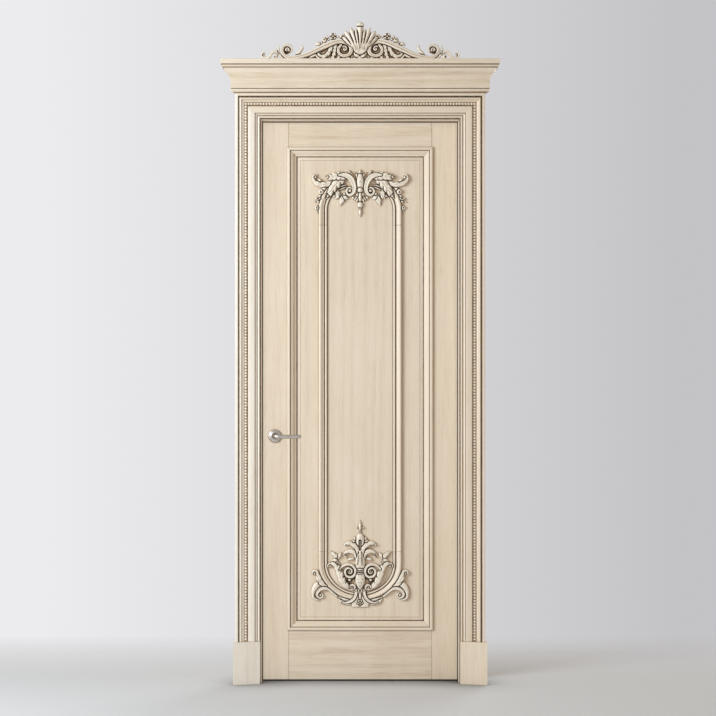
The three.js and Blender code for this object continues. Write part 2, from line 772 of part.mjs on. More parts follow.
// The crest is drawn 403 mm wide from its middle.
function crest() {
  const scale = crestHalfWidth / 403;
  const railHalf = 341 * scale;
  const railDepth = 12 * scale;
  const design = {
    middleStrokes: [
      [[0, 0, 12, 15], [0, 20, 7, 16], [0, 44, 12, 18]],
      [[0, 34, 22, 15], [0, 50, 25, 18], [0, 66, 12, 16]],
      ...fan(
        [0, 48],
        [
          [-60, 85, 7], [-56, 101, 7], [-45, 113, 7], [-31, 123, 7], [-16, 130, 7], [0, 150, 11],
          [16, 130, 7], [31, 123, 7], [45, 113, 7], [56, 101, 7], [60, 85, 7],
        ],
        16,
      ),
    ],
    middleBosses: [
      [0, 143, 13, 22],
    ],
    strokes: [
      [
        [309, 33, 4, 12], [301, 44, 4.6, 14], [285, 38, 5, 15], [282, 20, 6, 16], [254.6, 8, 6, 16],
        [220.5, 17, 7, 17], [183.6, 34, 9, 19], [146.7, 54, 10, 20], [112.5, 70, 9, 20], [84, 76, 8, 19],
        [57, 70, 8, 18], [38, 54, 7, 17], [34, 36, 6, 16], [46, 18, 5, 15], [66, 17, 5, 15], [82, 32, 5, 15],
        [80, 50, 4.6, 15], [64, 58, 4, 14], [52, 50, 4, 13], [52, 38, 3.6, 12], [62, 36, 3, 12],
      ],
      [[262, 12, 4, 11], [243, 24, 4, 12], [237, 38, 4, 12], [247, 45, 3, 11]],
      [
        [300, 8, 5, 12], [320, 4, 6, 13], [336, 26, 5, 14], [354, 24, 5, 14], [360, 10, 4.6, 13],
        [346, 6, 4, 12],
      ],
      [[352, 28, 4, 11], [371, 10, 6, 13], [388, 5, 6, 13], [399, 13, 4.6, 12], [396, 24, 3.6, 11]],
      [[326, 10, 4, 10], [330, 34, 5, 12], [331, 55, 1, 7]],
      [[112, 72, 7, 14], [113, 94, 6, 15]],
      [[128, 66, 5, 12], [138, 88, 6, 14], [132, 102, 4, 12]],
      [[140, 60, 6, 12], [155, 76, 8, 14], [172, 64, 6, 12], [184, 52, 3, 9]],
      [[70, 72, 6, 12], [72, 92, 8, 13], [66, 100, 2, 9]],
      [
        [172, 36, 5, 12], [152, 22, 7, 13], [134, 15, 7, 14], [116, 22, 7, 14], [107, 40, 5, 13],
        [104, 62, 3, 10],
      ],
      [[106, 56, 6, 12], [98, 30, 8, 13], [92, 4, 4, 10]],
      [[66, 18, 5, 11], [82, 8, 6, 12], [96, 4, 3, 9]],
      [[160, 2, 4, 10], [184, 14, 9, 14], [204, 8, 2, 9]],
      [[6, 4, 5, 12], [20, 16, 7, 14], [36, 12, 3, 10]],
    ],
    leaves: [],
    bosses: [
      [300, 33, 6, 15],
      [63, 40, 9, 17],
      [347, 12, 5, 13],
      [391, 17, 5, 12],
      [112.5, 96, 12, 17],
      [134, 96, 8, 15],
      [153, 75, 9, 15],
      [88, 88, 8, 13],
    ],
  };
  const railBar = solidOf(block([-railHalf, -railDepth, 0], [railHalf, 0, crestRail]));
  const reach = crestHalfWidth * 1.1;
  const belowSeat = solidOf(block([-reach, -reach, -reach], [reach, reach, 0]));
  const whole = carve(design, scale).add(railBar).subtract(belowSeat);
  const seat = casingTop + corniceHeight + fitGap * 2;
  return piece('crest', geometryOf(whole), 'carvedWood', [0, -crestBackAt, seat]);
}

// Handle
function ringLathe(profile, sides) {
  const closed = [...profile, profile[0]].map(([radius, rise]) => new THREE.Vector2(radius, rise));
  return new THREE.LatheGeometry(closed, sides);
}

function rosette(sideName) {
  const bore = spindleSide / 2 + 3;
  const profile = [
    [bore, 0],
    [rosetteRadius, 0],
    [rosetteRadius, rosetteThickness * 0.5],
    [rosetteRadius - 5, rosetteThickness],
    [bore, rosetteThickness],
  ];
  const geometry = ringLathe(profile, 16);
  geometry.rotateX(Math.PI);
  geometry.translate(0, -fitGap, 0);
  return piece(`rosette_${sideName}`, geometry, 'nickel');
}

// The lever leaves the rosette as a round neck, bends and becomes the grip.
function lever(sideName, reachSide) {
  const start = rosetteThickness + fitGap * 2;
  const bendRadius = 20;
  const bendSteps = 4;
  const sides = 12;
  const corner = leverReach - bendRadius;
  const ringAt = (x, y, turn) => Array.from({ length: sides }, (_, i) => {
    const angle = (Math.PI * 2 * i) / sides;
    const out = leverRadius * Math.cos(angle);
    const up = leverRadius * Math.sin(angle);
    return new THREE.Vector3(reachSide * (x + out * Math.cos(turn)), y - out * Math.sin(turn), up);
  });
  const rings = [ringAt(0, -start, 0)];
  for (let i = 0; i <= bendSteps; i += 1) {
    const turn = (quarter * i) / bendSteps;
    rings.push(ringAt(bendRadius * (1 - Math.cos(turn)), -corner - bendRadius * Math.sin(turn), -turn));
  }
  rings.push(ringAt(leverLength, -leverReach, -quarter));
  const grip = skinOver(rings, rings[0].map((point) => [point.x, point.z]));
  const socketHalf = spindleSide / 2 + fitGap;
  const socket = block([-socketHalf, -(start + 18), -socketHalf], [socketHalf, 1, socketHalf]);
  return piece(`lever_${sideName}`, geometryOf(solidOf(grip).subtract(solidOf(socket))), 'nickel');
}

function spindle() {
  const half = spindleSide / 2;
  const past = rosetteThickness + 15;
  return piece('spindle', block([-half, leafFront - past, -half], [half, leafBack + past, half]), 'nickel');
}

function handleSet() {
  const set = new THREE.Group();
  set.position.set(handleBackset - leafHalf, 0, handleHeight);
  const front = new THREE.Group();
  front.position.y = leafFront;
  front.add(rosette('front'), lever('front', 1));
  const back = new THREE.Group();
  back.position.y = leafBack;
  back.rotation.z = Math.PI;
  back.add(rosette('back'), lever('back', -1));
  set.add(front, back, spindle());
  return set;
}

// Hinges: the lower knuckle and its pin belong to the lining, the upper knuckle to the leaf.
function hinge(number, height) {
  const x = leafHalf + leafGap / 2;
  const y = leafBack + knuckleRadius + fitGap;
  const { width, thickness, height: plateHeight } = hingePlate;
  const plateAt = leafBack + fitGap;
  const inset = 1.5;
  const plateLow = -plateHeight / 2;
  const plate = (side) => {
    const [from, to] = side < 0 ? [x - inset - width, x - inset] : [x + inset, x + inset + width];
    return solidOf(block([from, plateAt, plateLow], [to, plateAt + thickness, plateHeight / 2]));
  };
  const sides = 8;
  const pinSides = 6;
  const turningRoom = (radius, count) => (radius + fitGap) / Math.cos(Math.PI / count);
  const bore = turningRoom(pinRadius, pinSides);
  const room = turningRoom(knuckleRadius, sides);
  const lower = solidOf(post(knuckleRadius, knuckleLength, sides, [x, y, -knuckleLength - fitGap / 2]));
  const upper = solidOf(post(knuckleRadius, knuckleLength, sides, [x, y, fitGap / 2]));
  const pin = solidOf(post(pinRadius, knuckleLength * 1.6, pinSides, [x, y, -knuckleLength]));
  const boreTop = solidOf(post(bore, knuckleLength, pinSides, [x, y, -knuckleLength * 0.25]));
  const roomAbove = solidOf(post(room, plateHeight, sides, [x, y, -fitGap / 2]));
  const roomBelow = solidOf(post(room, plateHeight, sides, [x, y, fitGap / 2 - plateHeight]));
  const framePlate = plate(1).subtract(roomAbove);
  const doorPlate = plate(-1).subtract(roomBelow);
  const group = new THREE.Group();
  group.position.z = height;
  group.add(
    piece(`hinge_${number}_frame`, geometryOf(lower.add(framePlate).add(pin)), 'nickel'),
    piece(`hinge_${number}_door`, geometryOf(upper.add(doorPlate).subtract(boreTop)), 'nickel'),
  );
  return group;
}

const doorSet = new THREE.Group();
doorSet.position.z = -wallMountHeight;
doorSet.add(...lining(), ...seals(), ...casing(), ...plinthBlocks(), cornice(), crest());

const leaf = new THREE.Group();
leaf.add(stile(-1), stile(1), panel());
leaf.add(rail('rail_bottom', floorGap, panelLow, true), rail('rail_top', panelHigh, leafTop, false));
const frontMouldings = new THREE.Group();
frontMouldings.position.y = leafFront;
frontMouldings.add(...panelMouldings('front'));
const backMouldings = new THREE.Group();
backMouldings.position.y = leafBack;
backMouldings.rotation.z = Math.PI;
backMouldings.add(...panelMouldings('back'));
leaf.add(frontMouldings, backMouldings, ...strips(), lowerOrnament(), upperOrnament(), handleSet());
doorSet.add(leaf);
hingeHeights.forEach((height, i) => doorSet.add(hinge(i + 1, height)));

const group = new THREE.Group();
group.add(doorSet);

export default group;
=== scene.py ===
# A carved wooden door in its surround, with its finishes, lit in a plain studio.
# Carvings and sections are drawn in millimetres, and placed in the frame in metres.
import json
import math

import bmesh
import bpy
import numpy as np
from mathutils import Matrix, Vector

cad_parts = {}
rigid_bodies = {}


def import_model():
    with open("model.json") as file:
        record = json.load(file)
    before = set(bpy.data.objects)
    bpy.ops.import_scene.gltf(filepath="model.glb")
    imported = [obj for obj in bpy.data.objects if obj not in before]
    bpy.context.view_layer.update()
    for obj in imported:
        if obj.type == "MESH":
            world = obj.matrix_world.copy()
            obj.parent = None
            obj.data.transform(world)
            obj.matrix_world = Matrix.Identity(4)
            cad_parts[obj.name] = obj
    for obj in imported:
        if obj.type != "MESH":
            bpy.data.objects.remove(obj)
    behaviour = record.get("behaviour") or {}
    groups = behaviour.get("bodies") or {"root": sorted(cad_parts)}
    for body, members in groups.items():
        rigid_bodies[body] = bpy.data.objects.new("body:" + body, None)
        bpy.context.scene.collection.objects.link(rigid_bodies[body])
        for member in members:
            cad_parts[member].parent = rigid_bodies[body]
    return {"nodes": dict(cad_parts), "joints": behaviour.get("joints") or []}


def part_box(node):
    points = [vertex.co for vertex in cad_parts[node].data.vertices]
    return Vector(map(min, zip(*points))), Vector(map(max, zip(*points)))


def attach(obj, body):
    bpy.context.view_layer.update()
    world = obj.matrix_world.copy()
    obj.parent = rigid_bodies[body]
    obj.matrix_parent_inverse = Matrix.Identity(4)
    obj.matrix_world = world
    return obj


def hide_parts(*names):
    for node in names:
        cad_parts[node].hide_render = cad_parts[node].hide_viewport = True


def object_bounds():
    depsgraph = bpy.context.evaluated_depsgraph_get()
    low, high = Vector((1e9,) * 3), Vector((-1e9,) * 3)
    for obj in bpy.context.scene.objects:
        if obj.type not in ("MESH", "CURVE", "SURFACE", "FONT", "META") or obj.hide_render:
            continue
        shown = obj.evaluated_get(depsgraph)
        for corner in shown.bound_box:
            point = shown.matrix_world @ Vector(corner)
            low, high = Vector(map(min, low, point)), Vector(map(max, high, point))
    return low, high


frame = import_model()
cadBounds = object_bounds()
mm = 0.001
gap = 0.3 * mm  # between touching pieces, as in the frame
rightward = Vector((1, 0, 0))
upward = Vector((0, 0, 1))
forward = Vector((0, -1, 0))

# Camera first
viewpoint = {
    "place": (-0.009, -7.5, -1.0275),
    "lens": 92.36,
    "sensorWidth": 36.0,
}
lens = bpy.data.cameras.new("viewLens")
lens.lens = viewpoint["lens"]
lens.sensor_width = viewpoint["sensorWidth"]
camera = bpy.data.objects.new("viewCamera", lens)
camera.location = viewpoint["place"]
camera.rotation_euler = (math.radians(90), 0, 0)
bpy.context.scene.collection.objects.link(camera)
bpy.context.scene.camera = camera
print("camera ready")


# Shader helpers
def newGroup(name, inputs, outputs):
    group = bpy.data.node_groups.new(name, "ShaderNodeTree")
    for label, kind, value in inputs:
        socket = group.interface.new_socket(name=label, in_out="INPUT", socket_type=kind)
        if value is not None:
            socket.default_value = value
    for label, kind in outputs:
        group.interface.new_socket(name=label, in_out="OUTPUT", socket_type=kind)
    return group, group.nodes.new("NodeGroupInput").outputs, group.nodes.new("NodeGroupOutput").inputs


def put(tree, kind, inputs=None, **settings):
    made = tree.nodes.new("ShaderNode" + kind)
    for key, value in settings.items():
        setattr(made, key, value)
    for key, value in (inputs or {}).items():
        if isinstance(value, bpy.types.NodeSocket):
            tree.links.new(value, made.inputs[key])
        else:
            made.inputs[key].default_value = value
    return made


def calc(tree, operation, first, second=0.0, clamp=False):
    made = put(tree, "Math", {0: first, 1: second}, operation=operation, use_clamp=clamp)
    return made.outputs[0]


def blend(tree, share, first, second):
    made = put(tree, "Mix", {0: share, 6: first, 7: second}, data_type="RGBA")
    return made.outputs[2]


def remap(tree, value, fromLow, fromHigh, toLow=0.0, toHigh=1.0):
    made = put(tree, "MapRange", {0: value, 1: fromLow, 2: fromHigh, 3: toLow, 4: toHigh})
    return made.outputs[0]


def noise(tree, vector, scale, detail=3.0, roughness=0.55):
    inputs = {"Vector": vector, "Scale": scale, "Detail": detail, "Roughness": roughness}
    return put(tree, "TexNoise", inputs).outputs["Fac"]


# Shared finishes. Each layer of the grain is a noise's scale, detail and roughness,
# and the values at which it starts and ends.
grainLayers = {
    "cloudy": (7.0, 4.0, 0.55, 0.4, 0.64),
    "broad": (60.0, 5.0, 0.65, 0.4, 0.72),
    "fine": (190.0, 4.0, 0.65, 0.42, 0.7),
    "pores": (620.0, 2.0, 0.6, 0.58, 0.74),
    "flecks": (26.0, 4.0, 0.6, 0.64, 0.78),
}
growthRings = {"Scale": 7.0, "Distortion": 14.0, "Detail": 4.0, "Detail Scale": 0.8, "Detail Roughness": 0.6}
grainMix = {
    "ringPower": 1.8,
    "flecks": 0.22,
    "pores": 0.16,
    "cloudy": 0.4,
    "tan": (0.912, 0.888, 0.841, 1),
    "fineDepth": 0.35,
    "roughness": 0.42,
    "grainRoughness": 0.22,
}


def buildWoodGrain():
    group, given, result = newGroup("woodGrain", [
        ("Vector", "NodeSocketVector", None),
        ("Place", "NodeSocketVector", None),
        ("Pale", "NodeSocketColor", (0.8, 0.71, 0.59, 1)),
        ("Grain", "NodeSocketColor", (0.6, 0.46, 0.31, 1)),
        ("Streaks", "NodeSocketFloat", 0.5),
        ("Figure", "NodeSocketFloat", 0.3),
    ], [
        ("Color", "NodeSocketColor"),
        ("Height", "NodeSocketFloat"),
        ("Roughness", "NodeSocketFloat"),
    ])
    stretched = given["Vector"]
    patches = put(group, "Mapping", {"Vector": given["Place"], "Scale": (1.0, 1.0, 0.45)}).outputs[0]
    layer = {}
    for name, (scale, detail, roughness, start, end) in grainLayers.items():
        vector = patches if name in ("cloudy", "flecks") else stretched
        layer[name] = remap(group, noise(group, vector, scale, detail, roughness), start, end)
    kind = {"rings_direction": "Z", "wave_type": "RINGS", "wave_profile": "SIN"}
    rings = put(group, "TexWave", {"Vector": stretched, **growthRings}, **kind).outputs["Fac"]
    figure = calc(group, "MULTIPLY", calc(group, "POWER", rings, grainMix["ringPower"]), given["Figure"])
    lines = calc(group, "MULTIPLY", calc(group, "MULTIPLY", layer["broad"], layer["fine"]), given["Streaks"])
    specks = calc(group, "MULTIPLY", layer["flecks"], grainMix["flecks"])
    marks = calc(group, "ADD", calc(group, "MULTIPLY", layer["pores"], grainMix["pores"]), specks)
    mask = calc(group, "ADD", calc(group, "ADD", figure, lines), marks, clamp=True)
    tan = {0: 1.0, 6: given["Pale"], 7: grainMix["tan"]}
    tanned = put(group, "Mix", tan, data_type="RGBA", blend_type="MULTIPLY").outputs[2]
    cloudy = calc(group, "MULTIPLY", layer["cloudy"], grainMix["cloudy"])
    ground = blend(group, cloudy, given["Pale"], tanned)
    group.links.new(blend(group, mask, ground, given["Grain"]), result["Color"])
    sunk = calc(group, "ADD", calc(group, "MULTIPLY", layer["fine"], grainMix["fineDepth"]), layer["pores"])
    group.links.new(calc(group, "SUBTRACT", 1.0, sunk), result["Height"])
    dull = calc(group, "MULTIPLY", mask, grainMix["grainRoughness"])
    group.links.new(calc(group, "ADD", grainMix["roughness"], dull), result["Roughness"])
    return group


glazeAndShadeMix = {
    "cornerStart": 0.84,  # how open a place is where the glaze and painted shade start, and where they are full
    "cornerFull": 0.26,
    "ridgeFree": 0.75,
    "rubbedAndHighlit": 0.6,
    "rubbedHighlightColor": (0.95, 0.89, 0.79, 1),
    "thinGain": 1.7,
    "thickStart": 0.4,
    "thickGain": 2.4,
}


def buildGlaze():
    # Brown glaze stays in hollows and joints, and is rubbed off the ridges.
    # Its mask also paints shade into corners where parts close in, and a highlight on the rubbed ridges.
    group, given, result = newGroup("brownGlaze", [
        ("Color", "NodeSocketColor", (0.8, 0.7, 0.6, 1)),
        ("Place", "NodeSocketVector", None),
        ("Thin", "NodeSocketColor", (0.42, 0.29, 0.17, 1)),
        ("Thick", "NodeSocketColor", (0.055, 0.028, 0.012, 1)),
        ("Reach", "NodeSocketFloat", 0.009),
        ("Strength", "NodeSocketFloat", 0.9),
        ("Tone", "NodeSocketFloat", 0.0),
        ("Seam", "NodeSocketFloat", 0.0),
    ], [("Color", "NodeSocketColor")])
    # Ambient occlusion paints shade where surfaces close in, in the glaze's colours.
    shelter = put(group, "AmbientOcclusion", {"Distance": given["Reach"]}, samples=6).outputs["AO"]
    proud = calc(group, "MAXIMUM", given["Tone"], 0.0)
    held = calc(group, "SUBTRACT", 1.0, calc(group, "MULTIPLY", proud, glazeAndShadeMix["ridgeFree"]))
    sheltered = remap(group, shelter, glazeAndShadeMix["cornerStart"], glazeAndShadeMix["cornerFull"])
    cornerGlazeAndShade = calc(group, "MULTIPLY", sheltered, held)
    cut = calc(group, "MULTIPLY", given["Tone"], -1.0, clamp=True)
    kept = calc(group, "MAXIMUM", calc(group, "MAXIMUM", cornerGlazeAndShade, cut), given["Seam"])
    cloud = remap(group, noise(group, given["Place"], 90.0, 3.0), 0.3, 0.7, 0.78, 1.08)
    mask = calc(group, "MULTIPLY", calc(group, "MULTIPLY", kept, given["Strength"]), cloud, clamp=True)
    # Proud places are painted paler, as rubbed glaze and a painted highlight.
    rubbedAndHighlit = calc(group, "MULTIPLY", proud, glazeAndShadeMix["rubbedAndHighlit"])
    pale = blend(group, rubbedAndHighlit, given["Color"], glazeAndShadeMix["rubbedHighlightColor"])
    tan = blend(group, calc(group, "MULTIPLY", mask, glazeAndShadeMix["thinGain"], clamp=True), pale, given["Thin"])
    deep = calc(group, "SUBTRACT", mask, glazeAndShadeMix["thickStart"])
    deep = calc(group, "MULTIPLY", deep, glazeAndShadeMix["thickGain"], clamp=True)
    group.links.new(blend(group, deep, tan, given["Thick"]), result["Color"])
    return group


def buildSeam():
    # A narrow line of glaze where a board ends, at the same distance on both sides of the middle
    group, given, result = newGroup("seamLine", [
        ("Place", "NodeSocketVector", None),
        ("End", "NodeSocketFloat", 0.3),
        ("Width", "NodeSocketFloat", 0.001),
    ], [("Mask", "NodeSocketFloat")])
    across = put(group, "SeparateXYZ", {0: given["Place"]}).outputs[0]
    away = calc(group, "SUBTRACT", given["End"], calc(group, "ABSOLUTE", across))
    halfWidth = calc(group, "MULTIPLY", given["Width"], 0.5)
    group.links.new(remap(group, away, given["Width"], halfWidth), result["Mask"])
    return group


woodGrain = buildWoodGrain()
brownGlaze = buildGlaze()
seamLine = buildSeam()

timber = {
    "pale": (0.865, 0.728, 0.577, 1),
    # A paler ground for the left boards, painted light as if they were lit more brightly.
    "paintedLitPale": (0.99, 0.9, 0.79, 1),
    "grain": (0.58, 0.41, 0.25, 1),
    # A paler timber for eased edges, a painted highlight.
    "paleArrisHighlight": (0.92, 0.86, 0.76, 1),
    "stretch": 0.05,  # the grain's scale along the board, where across it is 1
    "poreDepth": 0.00012,
    "seamWidth": 0.0018,
    "mouldingGlazeAndShade": 0.74,
    "carvingGlazeAndShade": 1.0,
    # Little glaze or shade on the eased edges, so their painted highlight stays.
    "arrisGlazeAndShade": 0.1,
}


def timberMaterial(
    name, grainAlong="z", shift=(0, 0, 0), streaks=0.35, figure=0.08, reach=0.008,
    pale="pale", seam=None, glazeAndShadeStrength="mouldingGlazeAndShade",
):
    # reach is how far from a corner glaze and painted shade are left. seam is where a joint crosses the
    # board.
    material = bpy.data.materials.new(name)
    material.use_nodes = True
    tree = material.node_tree
    shader = tree.nodes["Principled BSDF"]
    shader.inputs["Specular IOR Level"].default_value = 0.35
    place = put(tree, "TexCoord").outputs["Object"]
    squeeze = [timber["stretch"] if axis == grainAlong else 1.0 for axis in "xyz"]
    turned = put(tree, "Mapping", {"Vector": place, "Location": shift, "Scale": squeeze})
    if grainAlong == "x":
        turned = put(tree, "Mapping", {"Vector": turned.outputs[0], "Rotation": (0, math.radians(90), 0)})
    grain = put(tree, "Group", {
        "Vector": turned.outputs[0], "Place": place, "Pale": timber[pale], "Grain": timber["grain"],
        "Streaks": streaks, "Figure": figure,
    }, node_tree=woodGrain)
    inputs = {
        "Color": grain.outputs["Color"], "Place": place, "Reach": reach, "Strength": timber[glazeAndShadeStrength],
        "Tone": put(tree, "Attribute", attribute_name="tone").outputs["Fac"],
    }
    if seam:
        ends = {"Place": place, "End": seam, "Width": timber["seamWidth"]}
        inputs["Seam"] = put(tree, "Group", ends, node_tree=seamLine).outputs["Mask"]
    # The glaze group paints brown glaze and shade into hollows and corners, and a rubbed highlight on
    # ridges.
    glaze = put(tree, "Group", inputs, node_tree=brownGlaze)
    tree.links.new(glaze.outputs["Color"], shader.inputs["Base Color"])
    tree.links.new(grain.outputs["Roughness"], shader.inputs["Roughness"])
    height = {"Height": grain.outputs["Height"], "Distance": timber["poreDepth"], "Strength": 0.6}
    tree.links.new(put(tree, "Bump", height).outputs[0], shader.inputs["Normal"])
    return material


nickel = {
    "face": ((0.72, 0.67, 0.64, 1), (0.8, 0.75, 0.71, 1)),
    # rim is a painted dark reflection toward the edges, and shade is painted shade near other parts.
    "rim": (0.07, 0.055, 0.05, 1),
    "rimReflectionPower": 1.15,
    "shadeReach": 0.014,
    "shade": 0.8,
    "roughness": (0.3, 0.42),
    "scratchDepth": 0.00004,
}


def nickelMaterial():
    material = bpy.data.materials.new("satinNickel")
    material.use_nodes = True
    tree = material.node_tree
    shader = tree.nodes["Principled BSDF"]
    shader.inputs["Metallic"].default_value = 1.0
    # Layer Weight paints a dark reflection on the rims, and ambient occlusion paints shade near other parts,
    # both into the colour.
    edges = put(tree, "LayerWeight", {"Blend": 0.4}).outputs["Facing"]
    place = put(tree, "TexCoord").outputs["Object"]
    brushed = put(tree, "Mapping", {"Vector": place, "Scale": (40.0, 900.0, 900.0)}).outputs[0]
    scratches = noise(tree, brushed, 1.0, 3.0, 0.6)
    clouds = noise(tree, place, 60.0, 2.0)
    tree.links.new(remap(tree, scratches, 0.3, 0.7, *nickel["roughness"]), shader.inputs["Roughness"])
    face = blend(tree, clouds, *nickel["face"])
    nearby = put(tree, "AmbientOcclusion", {"Distance": nickel["shadeReach"]}, samples=6).outputs["AO"]
    shaded = calc(tree, "MULTIPLY", remap(tree, nearby, 0.9, 0.35), nickel["shade"])
    turned = calc(tree, "MAXIMUM", calc(tree, "POWER", edges, nickel["rimReflectionPower"]), shaded)
    tree.links.new(blend(tree, turned, face, nickel["rim"]), shader.inputs["Base Color"])
    bump = put(tree, "Bump", {"Height": scratches, "Distance": nickel["scratchDepth"], "Strength": 0.5})
    tree.links.new(bump.outputs[0], shader.inputs["Normal"])
    return material


rubber = {
    "clean": (0.01, 0.006, 0.004, 1),
    "dusty": (0.028, 0.02, 0.013, 1),
    "roughness": (0.55, 0.8),
}


def rubberMaterial():
    material = bpy.data.materials.new("sealRubber")
    material.use_nodes = True
    tree = material.node_tree
    shader = tree.nodes["Principled BSDF"]
    shader.inputs["Specular IOR Level"].default_value = 0.15
    place = put(tree, "TexCoord").outputs["Object"]
    dust = remap(tree, noise(tree, place, 70.0, 4.0), 0.45, 0.75)
    color = blend(tree, dust, rubber["clean"], rubber["dusty"])
    tree.links.new(color, shader.inputs["Base Color"])
    tree.links.new(remap(tree, dust, 0.0, 1.0, *rubber["roughness"]), shader.inputs["Roughness"])
    pitted = put(tree, "Bump", {"Height": noise(tree, place, 900.0), "Distance": 0.0001, "Strength": 0.4})
    tree.links.new(pitted.outputs[0], shader.inputs["Normal"])
    return material


satinNickel = nickelMaterial()
sealRubber = rubberMaterial()
print("finishes ready")


# Mesh helpers. A solid is its points, its faces and each point's tone.
# A tone below zero paints brown glaze with shade dark, and one above zero is rubbed pale with a painted
# highlight.
def addPiece(name, solid, body, replaced, material, sharpAngle=35):
    points, faces, tones = solid
    mesh = bpy.data.meshes.new(name)
    mesh.from_pydata([tuple(point) for point in points], [], faces)
    attribute = mesh.attributes.new("tone", "FLOAT", "POINT")
    attribute.data.foreach_set("value", tones)
    work = bmesh.new()
    work.from_mesh(mesh)
    bmesh.ops.recalc_face_normals(work, faces=work.faces)
    work.to_mesh(mesh)
    work.free()
    finishPiece(name, mesh, body, replaced, material, sharpAngle)


def finishPiece(name, mesh, body, replaced, material, sharpAngle):
    mesh.materials.append(material)
    mesh.shade_smooth()
    mesh.set_sharp_from_angle(angle=math.radians(sharpAngle))
    made = bpy.data.objects.new(name, mesh)
    bpy.context.scene.collection.objects.link(made)
    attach(made, body)
    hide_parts(*replaced)


def skin(rings, tones=None, capped=True):
    count = len(rings[0])
    points = [point for ring in rings for point in ring]
    faces = []
    for k in range(len(rings) - 1):
        for i in range(count):
            here = k * count + i
            beside = k * count + (i + 1) % count
            faces.append((here, beside, beside + count, here + count))
    if capped:
        faces.append(tuple(range(count)))
        faces.append(tuple(range((len(rings) - 1) * count, len(rings) * count)))
    return points, faces, tones or [0.0] * len(points)


def merge(solids):
    points = []
    faces = []
    tones = []
    for somePoints, someFaces, someTones in solids:
        start = len(points)
        points.extend(somePoints)
        faces.extend(tuple(index + start for index in face) for face in someFaces)
        tones.extend(someTones)
    return points, faces, tones


def oval(centre, first, second, sides):
    # Points round the centre. first and second are the half axes.
    angles = [math.tau * k / sides for k in range(sides)]
    return [centre + first * math.cos(angle) + second * math.sin(angle) for angle in angles]


def drawSection(moves, steps=5):
    # A straight move is (across, out, tone). A curved one has its pull point in front of these.
    points = [moves[0]]
    for move in moves[1:]:
        if len(move) == 3:
            points.append(move)
            continue
        start = points[-1]
        pull = move[:2]
        end = move[2:]
        for k in range(1, steps + 1):
            t = k / steps
            shares = ((1 - t) ** 2, 2 * t * (1 - t), t * t)
            across, out = (
                shares[0] * start[axis] + shares[1] * pull[axis] + shares[2] * end[axis] for axis in (0, 1)
            )
            points.append((across, out, start[2] + (end[2] - start[2]) * t))
    return points


def mouldedBar(section, corner, across, out, along, length, startMitre=0.0, endMitre=0.0):
    corner, across, out, along = (Vector(value) for value in (corner, across, out, along))
    rings = []
    for travel, mitre in ((0.0, startMitre), (length, endMitre)):
        rings.append([
            corner + across * u * mm + out * h * mm + along * (travel + mitre * u * mm)
            for u, h, tone in section
        ])
    return skin(rings, [tone for u, h, tone in section] * 2)


def squareBars(kind, section, spread, names=("left", "right", "head")):
    # Bars cut square. The section spreads away from the doorway's middle, or with a spread of -1 towards it.
    bars = {}
    for name in names:
        low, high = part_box(kind + "_" + name)
        y = low.y if spread > 0 else high.y
        if name == "head":
            corner = (low.x, y, low.z if spread > 0 else high.z)
            bars[name] = mouldedBar(section, corner, upward * spread, forward, rightward, high.x - low.x)
            continue
        side = spread if name == "right" else -spread
        corner = (low.x if side > 0 else high.x, y, low.z)
        bars[name] = mouldedBar(section, corner, rightward * side, forward, upward, high.z - low.z)
    return bars


# Lining boards, with a small bead on the inner corner and a quirk beside it painted dark with glaze and
# shade
lining = {
    "section": [
        (0, -100, 0), (0, -1.8, 0.3), (0, 0, 1.8, 0, 0.5), (2.2, -0.6, -0.7), (2.5, -3, -1), (6, -3, -1),
        (6.2, -0.3, -1), (6.6, 0, -0.8), (30, 0, 0), (30, -100, 0),
    ],
    "grain": {
        "left": ("z", (-0.9, 0.4, 0.6)), "right": ("z", (0.9, 0.4, 0.6)), "head": ("x", (0.6, 0.1, 0.2)),
    },
}


def buildLining():
    for name, solid in squareBars("lining", drawSection(lining["section"], 3), 1).items():
        material = timberMaterial("liningWood_" + name, *lining["grain"][name], 0.4, 0.1, 0.009)
        addPiece("liningBoard_" + name, solid, "surround", ["lining_" + name], material)


# Rubber lips that the leaf closes on
seal = {
    "section": [
        (0, 0, 0), (0, 10, 0), (1.6, 10, 0), (2.9, 9.6, 3, 7, 0), (3, 5, 0), (2.9, 3.4, 2.3, 3, 0),
        (2.3, 0, 0),
    ],
}


def buildSeals():
    for name, solid in squareBars("seal", drawSection(seal["section"], 3), -1).items():
        addPiece("sealLip_" + name, solid, "surround", ["seal_" + name], sealRubber)


